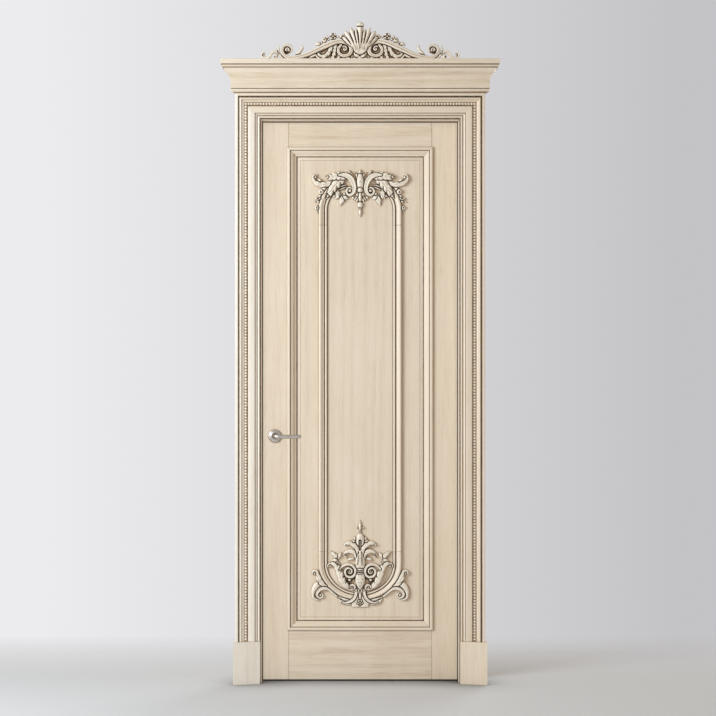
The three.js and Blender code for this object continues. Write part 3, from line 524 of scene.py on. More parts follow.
# Casing with its bead course
casing = {
    # Section tones paint glaze and shade dark into the quirks and at the inner edge, and a rubbed highlight
    # on the rounds.
    "section": [
        (0, 0.3, -1), (0, 7, -0.9), (0, 12.5, 4.6, 12.5, 0.3), (9, 12.5, 9, 8, -0.4), (9.5, 6.4, -1),
        (11, 6.4, -1), (11.4, 9.8, 0), (16.2, 11, 18.6, 16, 0.2), (19, 14.4, -1), (20.6, 14.4, -1),
        (21, 18.2, 0), (22.4, 18.6, 0.1), (34, 20.8, 45.6, 20.6, 0), (46.8, 20.2, 0),
        (47.4, 17.6, -0.4), (48.4, 14.6, -0.9), (65, 14.6, -0.6), (65.6, 17.4, -0.1), (66.4, 17.8, 0.2),
        (72.4, 18.4, 73.6, 26.6, 0), (73.8, 28.6, -0.3), (74, 33.6, 78, 33.6, 0.4),
        (82, 33.6, 82, 28.4, -0.4), (82.4, 23, -1), (87.2, 23, -1), (87.5, 37.4, -0.6),
        (87.9, 39.4, 0.1), (89, 40, 0.4), (97.6, 40, 0.3), (98.7, 39.7, 0.4), (99, 38.6, 0), (99, 0, 0),
    ],
    "beadAt": 57.0,
    "beadPitch": 12.05,
    "beadRadius": 5.3,
    "beadRise": 7.2,
    "beadGround": 14.4,
    "beadSides": 10,
    "beadRings": ((0.0, 1.0, -1.0), (0.45, 0.93, -0.2), (0.8, 0.64, 1.0)),  # rise, radius and tone, dark at the foot as painted shade and pale on top as a painted highlight
}


def bead(centre):
    # A domed bead that stands in the glazed channel of the moulding
    sides = casing["beadSides"]
    radius = casing["beadRadius"] * mm
    rise = forward * casing["beadRise"] * mm
    rings = [
        oval(centre + rise * lift, rightward * share * radius, upward * share * radius, sides)
        for lift, share, tone in casing["beadRings"]
    ]
    tones = [tone for lift, share, tone in casing["beadRings"] for k in range(sides)]
    points, faces, tones = skin(rings, tones, capped=False)
    points.append(centre + rise)
    tones.append(1.0)
    top = len(points) - 1
    faces.append(tuple(range(sides)))
    faces.extend((sides * 2 + k, sides * 2 + (k + 1) % sides, top) for k in range(sides))
    return points, faces, tones


def beadRow(start, along, length, count):
    first = Vector(start) + forward * casing["beadGround"] * mm
    return [bead(first + along * length * k / max(count - 1, 1)) for k in range(count)]


def buildCasing():
    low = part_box("casing_right")[0]
    inner = low.x
    foot = low.z
    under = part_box("casing_head")[0].z
    rebate = (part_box("lining_right")[1].x + gap - inner) / mm
    section = drawSection(casing["section"]) + [(rebate, 0, 0), (rebate, 0.3, 0)]
    beadLine = inner + casing["beadAt"] * mm
    beadTop = under + casing["beadAt"] * mm
    pitch = casing["beadPitch"] * mm
    legBeads = int((beadTop - foot) / pitch)
    for side, name in ((-1, "left"), (1, "right")):
        corner = (side * inner, 0, foot)
        leg = mouldedBar(section, corner, rightward * side, forward, upward, under - gap - foot, 0, 1)
        firstBead = beadTop - legBeads * pitch
        row = beadRow((side * beadLine, 0, firstBead), upward, (legBeads - 1) * pitch, legBeads)
        # The left board gets the paler ground, painted light.
        ground = "paintedLitPale" if side < 0 else "pale"
        material = timberMaterial("casingWood_" + name, "z", (0.7 * side, 0.3, 1.1), pale=ground)
        addPiece("casingBoard_" + name, merge([leg] + row), "surround", ["casing_" + name], material)
    head = mouldedBar(section, (-inner, 0, under), upward, forward, rightward, inner * 2, -1, 1)
    headBeads = round(beadLine * 2 / pitch) + 1
    row = beadRow((-beadLine, 0, beadTop), rightward, beadLine * 2, headBeads)
    material = timberMaterial("casingWood_head", "x", (0.2, 0.8, 0.4))
    addPiece("casingBoard_head", merge([head] + row), "surround", ["casing_head"], material)


# Cornice. Each level is how far it spreads past the casing, its height and its tone.
# The tones paint glaze and the shade under the cornice dark, and a rubbed highlight on the rounds.
cornice = {
    "levels": [
        (2, 0, -1), (3.6, 1.2, -1), (5, 2.8, -0.4), (7, 3, 0.1), (17, 4, 17.4, 12.8, 0.3),
        (16.8, 13.8, -0.7), (13.6, 14.4, -1), (13.6, 15.8, -1), (17, 16.6, -0.3), (17.5, 17.6, 0.2),
        (17.5, 47, 0), (18.5, 64, 30, 76, 0), (44.4, 94.4, 0.2), (44.7, 95.6, -0.6), (42.4, 96.2, -1),
        (42.4, 98, -1), (48.8, 98.6, -0.4), (50, 99.8, 0.3), (50.4, 105.8, 0.2), (50, 107.2, -0.6),
        (47.4, 107.8, -1), (47.4, 109.6, -1), (54.6, 110.2, -0.4), (56, 111.6, 0.3), (56, 130, 0.4),
        (55, 131, 0.4),
    ],
}


def buildCornice():
    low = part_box("cornice")[0]
    casingLow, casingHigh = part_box("casing_right")
    rings = []
    tones = []
    for spread, rise, tone in drawSection(cornice["levels"], 7):
        x = casingHigh.x + spread * mm
        y = casingLow.y - spread * mm
        z = low.z + rise * mm
        rings.append([Vector((-x, 0, z)), Vector((x, 0, z)), Vector((x, y, z)), Vector((-x, y, z))])
        tones.extend([tone] * 4)
    material = timberMaterial("corniceWood", "x", (0.35, 0.1, 0.9), 1.0, 0.25)
    addPiece("corniceMoulding", skin(rings, tones), "surround", ["cornice"], material)


# Panel with its raised field, seen between the mouldings
panel = {"tongue": 10.0, "margin": 36.3, "bevel": 11.0, "quirk": 0.9, "rise": 3.0, "shadowLine": 2.0}


def buildPanel():
    low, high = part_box("panel")
    ground = low.y + panel["rise"] * mm
    margin = (panel["tongue"] + panel["margin"]) * mm
    edge = margin + panel["bevel"] * mm
    quirk = panel["quirk"] * mm
    rings = []
    tones = []
    # The tones paint glaze and shade into the quirk round the field and along the shadow line, and a rubbed
    # highlight on its edge.
    for inset, y, tone in (
        (edge + quirk * 3, low.y, 0.0), (edge + quirk * 2, low.y + quirk, -0.6),
        (edge + quirk, low.y + quirk, -0.6), (edge, low.y, 0.2),
        (margin, ground, 0.1), (margin - panel["shadowLine"] * mm, ground, -1),
        (0, ground, 0), (0, high.y, 0), (edge, high.y, 0),
    ):
        rings.append([
            Vector((low.x + inset, y, low.z + inset)), Vector((high.x - inset, y, low.z + inset)),
            Vector((high.x - inset, y, high.z - inset)), Vector((low.x + inset, y, high.z - inset)),
        ])
        tones.extend([tone] * 4)
    material = timberMaterial("panelWood", "z", (0.52, 0.1, 0.3), 0.45, 0.12, 0.009)
    addPiece("raisedPanel", skin(rings, tones), "leaf", ["panel"], material)


# Panel mouldings, four on each face of the leaf
panelMoulding = {
    # Section tones paint glaze and shade dark into the quirks, and a rubbed highlight on the bead.
    "section": [
        (0, 0.3, -1), (0, 3.4, -0.5), (0, 9, 6.4, 9, 0.4), (12.8, 9, 12.8, 4.6, -0.3), (13.2, 2, -0.9),
        (15, 1.8, -0.8), (15.4, 3.6, -0.2), (16.2, 4, 0), (23.5, 3, 27, -1.4, -0.1),
        (30.5, -6.6, 36.6, -7.2, 0), (37.4, -7.6, -0.6), (37.8, -10.4, -1), (41, -10.6, -1),
        (41, -11.7, 0), (5.3, -11.7, 0), (5.3, 0.3, 0),
    ],
    "short": 0.6,  # how much the upright bars stop short of each end
}


def buildPanelMouldings(face, faceY, out):
    kind = "panel_moulding_" + face + "_"
    half = max(abs(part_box(kind + "left")[0].x), abs(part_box(kind + "right")[0].x))
    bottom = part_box(kind + "bottom")[0].z
    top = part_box(kind + "top")[1].z
    section = drawSection(panelMoulding["section"])
    foot = bottom + panelMoulding["short"] * mm
    tall = top - bottom - panelMoulding["short"] * mm * 2
    left = -1 if face == "front" else 1  # the back set is the front set turned round
    bars = {
        "left": ((left * half, faceY, foot), rightward * -left, upward, tall),
        "right": ((-left * half, faceY, foot), rightward * left, upward, tall),
        "bottom": ((-half, faceY, bottom), upward, rightward, half * 2),
        "top": ((-half, faceY, top), -upward, rightward, half * 2),
    }
    for place, (corner, across, along, length) in bars.items():
        solid = mouldedBar(section, corner, across, (0, out, 0), along, length, 1, -1)
        grainAlong = "x" if place in ("bottom", "top") else "z"
        shift = (0.1 * len(place), 0.2, 0.37 * len(face + place))
        material = timberMaterial("beadingWood_" + face + "_" + place, grainAlong, shift)
        addPiece("panelBeading_" + face + "_" + place, solid, "leaf", [kind + place], material)


# Applied strips, drawn from the outer edge to the inner edge
strip = {
    # Profile tones paint glaze and shade dark into the quirks and edges, and a rubbed highlight on the
    # rounds.
    "profile": [
        (0, 0, -1), (0, 4, -0.4), (0.3, 12.8, 6, 13, 0.5), (11.6, 13, 14, 9.6, 0), (16.4, 7, 20.4, 6.6, 0),
        (21.6, 6.2, -0.2), (22.4, 3, -1), (25.6, 3, -1), (26.2, 5, -0.3), (26.8, 7.8, 30, 7.8, 0.6),
        (33.6, 7.8, 34.4, 4.6, -0.2), (34.8, 2, -1), (37, 1.6, -1), (37, 0, -1),
    ],
}


def buildStrips():
    strips = squareBars("panel_strip", drawSection(strip["profile"]), -1, ("left", "right"))
    for name, solid in strips.items():
        material = timberMaterial("stripWood_" + name, "z", (-0.4 if name == "left" else 0.4, 0.6, 0.2))
        addPiece("appliedStrip_" + name, solid, "leaf", ["panel_strip_" + name], material)


buildLining()
buildSeals()
buildCasing()
buildCornice()
buildPanel()
frontFace, backFace = (corner.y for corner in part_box("stile_left"))
buildPanelMouldings("front", frontFace, -1)
buildPanelMouldings("back", backFace, 1)
buildStrips()
print("mouldings ready")


# Carving kit. Every stroke's point is [across, up, half width, height].
def smoothPath(points, spacing=2.5):
    given = np.array(points, float)
    ghosts = np.vstack([2 * given[0] - given[1], given, 2 * given[-1] - given[-2]])
    stretches = []
    for k in range(1, len(ghosts) - 2):
        before, here, after, beyond = ghosts[k - 1:k + 3]
        count = max(int(math.dist(here[:2], after[:2]) / spacing), 2)
        t = np.linspace(0, 1, count, endpoint=False)[:, None]
        stretches.append(0.5 * (
            2 * here
            + (after - before) * t
            + (2 * before - 5 * here + 4 * after - beyond) * t ** 2
            + (3 * here - before - 3 * after + beyond) * t ** 3
        ))
    path = np.vstack(stretches + [ghosts[-2][None]])
    path[:, 2] = np.maximum(path[:, 2], 0.4)
    return path


def spiral(centre, radii, degrees, widths, heights, stepDegrees=30):
    # Points of a scroll that winds in by the same share on every turn
    count = max(int(abs(degrees[1] - degrees[0]) / stepDegrees), 3)
    points = []
    for k in range(count + 1):
        t = k / count
        radius = radii[0] * (radii[1] / radii[0]) ** t
        angle = math.radians(degrees[0] + (degrees[1] - degrees[0]) * t)
        points.append([
            centre[0] + radius * math.cos(angle),
            centre[1] + radius * math.sin(angle),
            widths[0] + (widths[1] - widths[0]) * t,
            heights[0] + (heights[1] - heights[0]) * t,
        ])
    return points


def softened(field, radius):
    # Gaussian blur; radius is in grid steps
    down = np.fft.fftfreq(field.shape[0])[:, None]
    across = np.fft.rfftfreq(field.shape[1])[None, :]
    filterShape = np.exp(-2 * (math.pi * radius) ** 2 * (down ** 2 + across ** 2))
    return np.fft.irfft2(np.fft.rfft2(field) * filterShape, s=field.shape)


class Traced:
    # What a stroke says at every grid point of its window
    def __init__(self, window, shape):
        self.window = window
        self.gain = np.full(shape, -99.0)
        self.offset = np.zeros(shape)
        self.along = np.zeros(shape)
        self.wide = np.ones(shape)
        self.tall = np.zeros(shape)


class Carving:
    # Drawn on its right half and mirrored. edge is above zero inside the outline.
    def __init__(self, width, low, high, step):
        self.step = step
        self.x, self.z = np.meshgrid(np.arange(0.0, width, step), np.arange(low, high, step))
        self.edge = np.full(self.x.shape, -9.0)
        self.height = np.zeros(self.x.shape)
        self.paint = np.full(self.x.shape, np.nan)

    def windowOver(self, path, margin=4.0):
        reach = path[:, 2].max() + margin
        window = []
        for values, first in ((path[:, 1], self.z[0, 0]), (path[:, 0], self.x[0, 0])):
            ends = (values.min() - reach, values.max() + reach)
            start, end = (int((value - first) / self.step) for value in ends)
            window.append(slice(max(start, 0), max(end + 1, 1)))
        return tuple(window)

    def trace(self, points):
        path = smoothPath(points)
        window = self.windowOver(path)
        x, z = self.x[window], self.z[window]
        steps = np.hypot(np.diff(path[:, 0]), np.diff(path[:, 1]))
        travelled = np.concatenate([[0.0], np.cumsum(steps)])
        traced = Traced(window, x.shape)
        traced.length = travelled[-1]
        for k in range(len(path) - 1):
            start, end = path[k], path[k + 1]
            dx, dz = end[:2] - start[:2]
            t = np.clip(((x - start[0]) * dx + (z - start[1]) * dz) / max(dx * dx + dz * dz, 1e-9), 0, 1)
            offX = x - start[0] - dx * t
            offZ = z - start[1] - dz * t
            away = np.hypot(offX, offZ)
            wide = start[2] + (end[2] - start[2]) * t
            better = wide - away > traced.gain
            traced.gain[better] = (wide - away)[better]
            traced.offset[better] = (away * np.where(dx * offZ - dz * offX > 0, 1, -1))[better]
            traced.wide[better] = wide[better]
            traced.tall[better] = (start[3] + (end[3] - start[3]) * t)[better]
            share = (travelled[k] + steps[k] * t) / travelled[-1]
            traced.along[better] = share[better]
        return traced

    def lay(self, window, edge, height, sink=2.5, groove=2.7, depth=0.85):
        # Cuts a groove round the new shape, then sets the shape into what lies below.
        below = self.height[window]
        close = np.clip(1 + edge / groove, 0, 1)
        below = np.where(edge > 0, below - sink, below * (1 - depth * np.sqrt(close)))
        rolled = height * (0.6 + 0.4 * np.sqrt(np.clip(edge / 2.0, 0, 1)))
        self.height[window] = np.where(edge > 0, np.maximum(below, rolled), below)
        self.paint[window] = np.where(edge > -groove, np.nan, self.paint[window])
        self.edge[window] = np.maximum(self.edge[window], edge)

    def band(self, points, hollow=0.3, reeds=0):
        traced = self.trace(points)
        share = np.clip(np.abs(traced.offset) / traced.wide, 0, 1)
        dish = 1 - hollow * (1 - np.minimum(share / 0.72, 1) ** 2)
        if reeds:
            dish = dish - 0.07 * (1 + np.cos(math.pi * reeds * share + math.pi * (reeds + 1)))
        self.lay(traced.window, traced.gain, traced.tall * dish * np.sqrt(1 - 0.6 * share ** 6))

    def rounded(self, points, flutes=0, flat=0.3, groove=2.7, depth=0.85, joinedTo=0.0):
        # Up to joinedTo of its length the stroke grows out of what lies below, with no groove.
        traced = self.trace(points)
        share = np.clip(np.abs(traced.offset) / traced.wide, 0, 1)
        height = traced.tall * (flat + (1 - flat) * np.sqrt(1 - share ** 2))
        if joinedTo:
            free = np.clip((traced.along - joinedTo) * 4, 0, 1)
            depth = depth * free
            height = height * free + np.maximum(height, self.height[traced.window]) * (1 - free)
        if flutes:
            height = height * (0.9 + 0.1 * np.cos(math.pi * flutes * share))
        self.lay(traced.window, traced.gain, height, groove=groove, depth=depth)

    def leaf(self, points, lobes, cuts=(0.3, 0.3), rake=0.55, eye=1.4, relief=1.0):
        # Raked lobes on both sides of a sunk midrib. cuts is how deep the left and right edges are notched.
        traced = self.trace(points)
        share = np.clip(np.abs(traced.offset) / traced.wide, 0, 1.2)
        cut = np.where(traced.offset > 0, cuts[0], cuts[1])
        phase = lobes * traced.along - rake * share
        lobe = np.abs(np.sin(math.pi * phase))
        reach = 1 - cut * (1 - lobe ** 0.7)
        edge = traced.gain - traced.wide * (1 - reach)
        dome = np.sqrt(np.clip(1 - (share / reach) ** 2, 0, 1))
        ripple = 0.5 - 0.5 * np.cos(2 * math.pi * phase)
        height = traced.tall * (0.5 + 0.45 * dome)
        height += traced.tall * 0.17 * relief * (ripple - 0.5) * np.clip(share * 1.8 - 0.2, 0, 1)
        height -= traced.tall * 0.12 * relief * np.exp(-(traced.offset / (0.07 * traced.wide + 0.8)) ** 2)
        if eye:
            nearest = np.round(phase)
            downLeaf = (phase - nearest) / lobes * traced.length
            overLeaf = (share - (1 - cut) + 0.12) * traced.wide
            inner = (nearest >= 1) & (nearest <= lobes - 1) & (cut > 0.2)
            pit = np.clip(1 - (downLeaf ** 2 + overLeaf ** 2) / eye ** 2, 0, 1)
            height -= np.where(inner, traced.tall * 0.6 * np.sqrt(pit), 0)
        self.lay(traced.window, edge, height)

    def moulding(self, points, profile, endAt=None, startAt=None):
        # A bent strip. Its outer edge is on the left of the path, and its profile narrows with it.
        traced = self.trace(points)
        width = profile[-1][0]
        across = (traced.wide - traced.offset) * width / (2 * traced.wide)
        edge = traced.gain
        if endAt is not None:
            edge = np.minimum(edge, endAt - self.z[traced.window])
        if startAt is not None:
            edge = np.minimum(edge, self.z[traced.window] - startAt)
        height = np.interp(across, [u for u, h, tone in profile], [h for u, h, tone in profile])
        paint = np.interp(across, [u for u, h, tone in profile], [tone for u, h, tone in profile])
        self.height[traced.window] = np.where(edge > 0, height, self.height[traced.window])
        self.paint[traced.window] = np.where(edge > 0, paint, self.paint[traced.window])
        self.edge[traced.window] = np.maximum(self.edge[traced.window], edge)

    def ground(self, points, tall):
        # A flat backing that other strokes are set on
        traced = self.trace(points)
        below = self.height[traced.window]
        self.height[traced.window] = np.where(traced.gain > 0, np.maximum(below, tall), below)
        self.edge[traced.window] = np.maximum(self.edge[traced.window], traced.gain)

    def dome(self, x, z, radius, tall, tone=None):
        window = self.windowOver(np.array([[x, z, radius]]))
        away = np.hypot(self.x[window] - x, self.z[window] - z)
        share = np.clip(away / radius, 0, 1)
        self.lay(window, radius - away, tall * (0.45 + 0.55 * np.sqrt(1 - share ** 2)))
        # A given tone paints the dome pale, as a rubbed highlight.
        if tone is not None:
            self.paint[window] = np.where(radius - away > 0.5, tone, self.paint[window])

    def drill(self, x, z, radius, depth):
        window = self.windowOver(np.array([[x, z, radius]]))
        away = np.hypot(self.x[window] - x, self.z[window] - z)
        self.height[window] -= depth * np.sqrt(np.clip(1 - (away / radius) ** 2, 0, 1))
        # The hole is painted dark, as glaze and shade.
        self.paint[window] = np.where(away < radius * 0.8, -1.0, self.paint[window])

    def trench(self, points):
        traced = self.trace(points)
        floor = np.where(traced.gain > 0, traced.tall, 99.0)
        self.height[traced.window] = np.minimum(self.height[traced.window], floor)

    def flower(self, x, z, radius, tall, petals=5, start=90):
        for k in range(petals):
            angle = math.radians(start + 360 * k / petals)
            reach = [radius * math.cos(angle), radius * math.sin(angle)]
            self.rounded([
                [x + reach[0] * 0.2, z + reach[1] * 0.2, radius * 0.18, tall * 0.8],
                [x + reach[0] * 0.65, z + reach[1] * 0.65, radius * 0.4, tall],
                [x + reach[0] * 0.95, z + reach[1] * 0.95, radius * 0.16, tall * 0.7],
            ])
        self.dome(x, z, radius * 0.3, tall * 1.1)

    def pearls(self, start, end, radii, tall, count):
        for k in range(count):
            t = k / (count - 1)
            x = start[0] + (end[0] - start[0]) * t
            z = start[1] + (end[1] - start[1]) * t
            self.dome(x, z, radii[0] + (radii[1] - radii[0]) * t, tall, 0.9)


carvedSurface = {
    "least": 2.0,  # lowest surface inside the outline
    "wideBlur": 4.0,
    "closeBlur": 1.5,
    "wideFall": 3.5,  # how far below its surroundings a place is fully glazed and shaded
    "closeFall": 3.2,
    "paleness": 0.42,
    "hollowBelow": 7.0,
    "hollowFade": 2.4,
    "hollowShadeAndGlaze": 1.1,
    "backShadeTone": -0.2,
}

# How the outline cuts a grid cell. 0 to 3 are the cell's corners, 4 to 7 the cuts on its sides.
cellPolygons = {
    1: [(0, 4, 7)], 2: [(4, 1, 5)], 3: [(0, 1, 5, 7)], 4: [(5, 2, 6)], 5: [(0, 4, 7), (5, 2, 6)],
    6: [(4, 1, 2, 6)], 7: [(0, 1, 2, 6, 7)], 8: [(7, 6, 3)], 9: [(0, 4, 6, 3)],
    10: [(4, 1, 5), (7, 6, 3)], 11: [(0, 1, 5, 6, 3)], 12: [(7, 5, 2, 3)], 13: [(0, 4, 5, 2, 3)],
    14: [(4, 1, 2, 3, 7)], 15: [(0, 1, 2, 3)],
}


def carvedMesh(name, carving, place):
    # Follows the outline through the grid's cells, and closes the sides and the flat back.
    fullEdge = np.hstack([carving.edge[:, :0:-1], carving.edge])
    x = np.hstack([-carving.x[:, :0:-1], carving.x])
    z = np.hstack([carving.z[:, :0:-1], carving.z])
    height = np.hstack([carving.height[:, :0:-1], carving.height])
    inside = fullEdge > 0
    height = np.where(inside, np.maximum(height, carvedSurface["least"]), height)
    smooth = softened(np.where(inside, height, 0.0), 0.5)
    height = np.where(inside, np.maximum(smooth, height * 0.6), 0.0)
    # The tone paints glaze and shade into hollows, low ground and the feet of the walls, and a rubbed pale
    # highlight on what stands proud.
    wide = height - softened(height, carvedSurface["wideBlur"] / carving.step)
    close = height - softened(height, carvedSurface["closeBlur"] / carving.step)
    hollow = np.clip((carvedSurface["hollowBelow"] - height) / carvedSurface["hollowFade"], 0, 1)
    tone = wide / carvedSurface["wideFall"] + close / carvedSurface["closeFall"] + carvedSurface["paleness"]
    tone = tone - hollow * carvedSurface["hollowShadeAndGlaze"]
    paint = np.hstack([carving.paint[:, :0:-1], carving.paint])
    tone = np.clip(np.where(np.isnan(paint), tone, paint), -1, 1)

    rows, columns = fullEdge.shape
    total = rows * columns
    ids = np.arange(total).reshape(rows, columns)
    acrossShare = np.clip(fullEdge[:, :-1] / (fullEdge[:, :-1] - fullEdge[:, 1:] + 1e-12), 0.1, 0.9)
    upShare = np.clip(fullEdge[:-1] / (fullEdge[:-1] - fullEdge[1:] + 1e-12), 0.1, 0.9)
    points = np.zeros((total * 3, 3))
    tones = np.zeros(total * 3)
    points[:total] = np.stack([x, -height, z], axis=-1).reshape(-1, 3)
    tones[:total] = tone.reshape(-1)
    sides = (
        (total, ids[:, :-1], acrossShare, (slice(None), slice(0, -1)), (slice(None), slice(1, None))),
        (total * 2, ids[:-1], upShare, (slice(0, -1), slice(None)), (slice(1, None), slice(None))),
    )
    for offset, owners, share, here, there in sides:
        crossing = np.stack([
            x[here] + (x[there] - x[here]) * share,
            -np.where(inside[here], height[here], height[there]),
            z[here] + (z[there] - z[here]) * share,
        ], axis=-1)
        points[owners + offset] = crossing
        tones[owners + offset] = np.where(inside[here], tone[here], tone[there])

    corner = inside[:-1, :-1] * 1 + inside[:-1, 1:] * 2 + inside[1:, 1:] * 4 + inside[1:, :-1] * 8
    faces = []
    for code, polygons in cellPolygons.items():
        j, i = np.nonzero(corner == code)
        base = j * columns + i
        at = [
            base, base + 1, base + columns + 1, base + columns,
            base + total, base + 1 + total * 2, base + columns + total, base + total * 2,
        ]
        for polygon in polygons:
            faces.extend(np.stack([at[k] for k in polygon], axis=1).tolist())
            for near, far in zip(polygon, polygon[1:] + polygon[:1]):
                if min(near, far) > 3:
                    wall = [at[far], at[near], at[near] + total * 3, at[far] + total * 3]
                    faces.extend(np.stack(wall, axis=1).tolist())
    used = np.unique(np.concatenate([np.array(face) for face in faces]))
    lookup = np.full(total * 6, -1)
    lookup[used] = np.arange(len(used))
    allPoints = np.vstack([points, points * [1, 0, 1]])[used]
    allTones = np.concatenate([tones, np.full(total * 3, carvedSurface["backShadeTone"])])[used]
    allPoints = allPoints * mm + np.array(place)
    faces = [[int(lookup[k]) for k in face] for face in faces]

    mesh = bpy.data.meshes.new(name)
    mesh.from_pydata(allPoints.tolist(), [], faces)
    attribute = mesh.attributes.new("tone", "FLOAT", "POINT")
    attribute.data.foreach_set("value", allTones.astype(np.float32))
    work = bmesh.new()
    work.from_mesh(mesh)
    rim = [edge for edge in work.edges if len(edge.link_faces) == 1]
    filled = bmesh.ops.triangle_fill(work, use_beauty=False, use_dissolve=False, edges=rim)
    for face in filled["geom"]:
        if isinstance(face, bmesh.types.BMFace):
            face.normal_update()
            if face.normal.y < 0:
                face.normal_flip()
    work.to_mesh(mesh)
    openEdges = sum(1 for edge in work.edges if len(edge.link_faces) != 2)
    work.free()
    print(name, "has", len(mesh.polygons), "faces and", openEdges, "open edges")
    return mesh


bentStripProfile = drawSection(strip["profile"])

# Lower ornament. Its lowest point is 226.5 mm below the foot of the strips.
lowerOrnament = {
    "step": 1.15,
    "joint": 226.5,
    "stripCentre": 152.3,
    "bendCentre": 172.0,
    "bendDepth": 132.0,
    "bendHalf": (18.5, 14.0),  # half width beside the strips and at the middle
    "bendTall": 13.0,
}


def bendOfLowerOrnament():
    radiusX, radiusZ = lowerOrnament["stripCentre"], lowerOrnament["bendDepth"]
    wide, narrow = lowerOrnament["bendHalf"]
    tall = lowerOrnament["bendTall"]
    points = [[radiusX, lowerOrnament["joint"] + 20, wide, tall]]
    for degrees in range(0, 91, 10):
        angle = math.radians(degrees)
        z = lowerOrnament["bendCentre"] - radiusZ * math.sin(angle)
        points.append([radiusX * math.cos(angle), z, wide + (narrow - wide) * degrees / 90, tall])
    points.append([-20, points[-1][1] + 1, narrow, tall])
    return points


def carveLowerOrnament():
    carving = Carving(206, -3, 358, lowerOrnament["step"])
    carving.moulding(bendOfLowerOrnament(), bentStripProfile, endAt=lowerOrnament["joint"])
    # outer leaves, with their crescents and scrolls
    carving.rounded([
        [158, 96, 8, 12], [176, 88, 12.5, 14], [187, 74, 11.5, 14], [194, 56, 8, 13], [193, 37, 5.4, 12],
        [181, 27, 4.4, 10], [168, 25, 2.4, 8],
    ])
    carving.leaf(
        [[138, 82, 4, 10], [155, 92, 10, 15], [168, 109, 12, 18], [174, 128, 8.5, 18], [181, 143, 6, 17],
         [192, 144, 5.4, 16], [196, 133, 4, 13]],
        4, (0.1, 0.42), eye=1.5,
    )
    carving.dome(187, 135, 4.4, 15)
    carving.band([
        [72, 20, 3, 8], [93, 38, 3.4, 12], [111, 53, 4, 14], [130, 69, 5, 16], [146, 74, 6, 17],
        [163, 69.5, 6.4, 18], [175, 58.5, 6, 18], [178, 46.5, 5.4, 17], [171, 36.5, 4.6, 15],
        [160.5, 36, 4.2, 14], [154.5, 44, 3.8, 13], [158, 51.5, 3.4, 12],
    ], hollow=0.2)
    carving.dome(163.7, 45, 4.8, 15)
    # leaves beside the foot
    carving.leaf([[40, 24, 3, 8], [60, 27, 5, 11], [92, 37, 1.2, 8]], 2, (0.1, 0.1), eye=0)
    carving.leaf([
        [30, 14, 6, 9], [56, 12, 8.4, 12], [78, 18, 6.5, 11], [91, 31, 1.5, 8],
    ], 3, (0.15, 0.15), eye=0)
    # foot between two curved bands
    carving.rounded([[0, 82, 15, 10], [0, 52, 17, 10], [0, 26, 27, 10], [0, 12, 36, 9]], flat=0.85)
    carving.rounded([[0, 60, 2, 11], [0, 42, 6, 15], [0, 30, 3, 11]])
    carving.flower(0, 14.5, 12, 13, 5, -90)
    carving.band([
        [22, 82, 4, 13], [17.5, 66, 5.4, 16], [17.5, 50, 6, 17], [24, 34, 6.4, 17], [37, 21, 6, 15],
        [56, 14, 4, 12], [74, 15, 2, 9],
    ], hollow=0.15)
    # sprigs beside the arms
    carving.rounded([[78, 160, 3, 9], [90, 180, 3.4, 11], [96, 200, 3, 11]])
    carving.leaf([[93, 194, 3, 10], [105, 210, 9.4, 15], [126, 226, 1, 8]], 3, (0.28, 0.28), eye=1.0)
    carving.leaf([[90, 196, 3, 10], [85, 209, 6.6, 14], [78, 222, 1, 8]], 2, (0.25, 0.25), eye=0)
    carving.leaf([[90, 184, 3, 10], [103, 190, 6.6, 13], [118, 185, 1.2, 8]], 2, (0.25, 0.25), eye=0)
    carving.dome(94, 181, 4.2, 12)
    # big side leaves with rolled tips
    carving.leaf(
        [[14, 66, 3, 12], [36, 72, 6, 15], [58, 86, 11, 20], [74, 108, 13.5, 24], [83, 132, 14, 24],
         [90, 153, 13, 24], [101, 168, 9.4, 23], [115, 175.5, 7.4, 21], [128, 172, 6, 18],
         [132, 163, 4.2, 14]],
        7, (0.34, 0.02), rake=0.5, eye=1.9, relief=0.7,
    )
    carving.dome(123, 165.5, 5.2, 17, 0.5)
    carving.ground([[28, 118, 10, 4], [42, 106, 16, 4], [40, 92, 10, 4]], 4.2)
    # small scroll and ball inside them
    carving.band([[24, 70, 3.4, 12], [22, 80, 4.2, 15], [30, 87, 4.4, 15], [40, 84, 4, 14], [42, 76, 3, 12]])
    carving.dome(34, 78, 3.6, 12)
    carving.dome(43.3, 108.5, 6.2, 15)
    # volutes
    carving.ground([[43.3, 142, 20, 3], [44, 142, 20, 3]], 3.0)
    carving.band([
        [84, 152, 3.4, 13], [75.6, 162, 4.4, 17], [62, 170, 5, 18], [46, 172.5, 5.2, 19],
        [30, 165, 5.2, 19], [20.5, 150, 5.2, 19], [21.5, 132, 5.2, 19], [34.5, 120.5, 5, 19],
        [52, 122, 4.8, 18], [62, 135, 4.6, 18], [60, 150, 4.4, 17], [48, 157, 4, 17],
        [36.5, 151, 3.8, 16], [35, 140, 3.4, 16], [43, 134.5, 3, 15], [50, 141, 2.8, 14],
    ], hollow=0.12)
    carving.dome(43.5, 144, 3.8, 16)
    # vase
    carving.rounded([
        [0, 137, 13, 18], [0, 124, 17.5, 21], [0, 106, 19, 22], [0, 88, 13, 19], [0, 67, 1.5, 11],
    ], flat=0.6)
    for dotX, dotZ in ((6, 126), (9, 112), (5, 98), (2, 84)):
        carving.drill(dotX, dotZ, 1.5, 8)
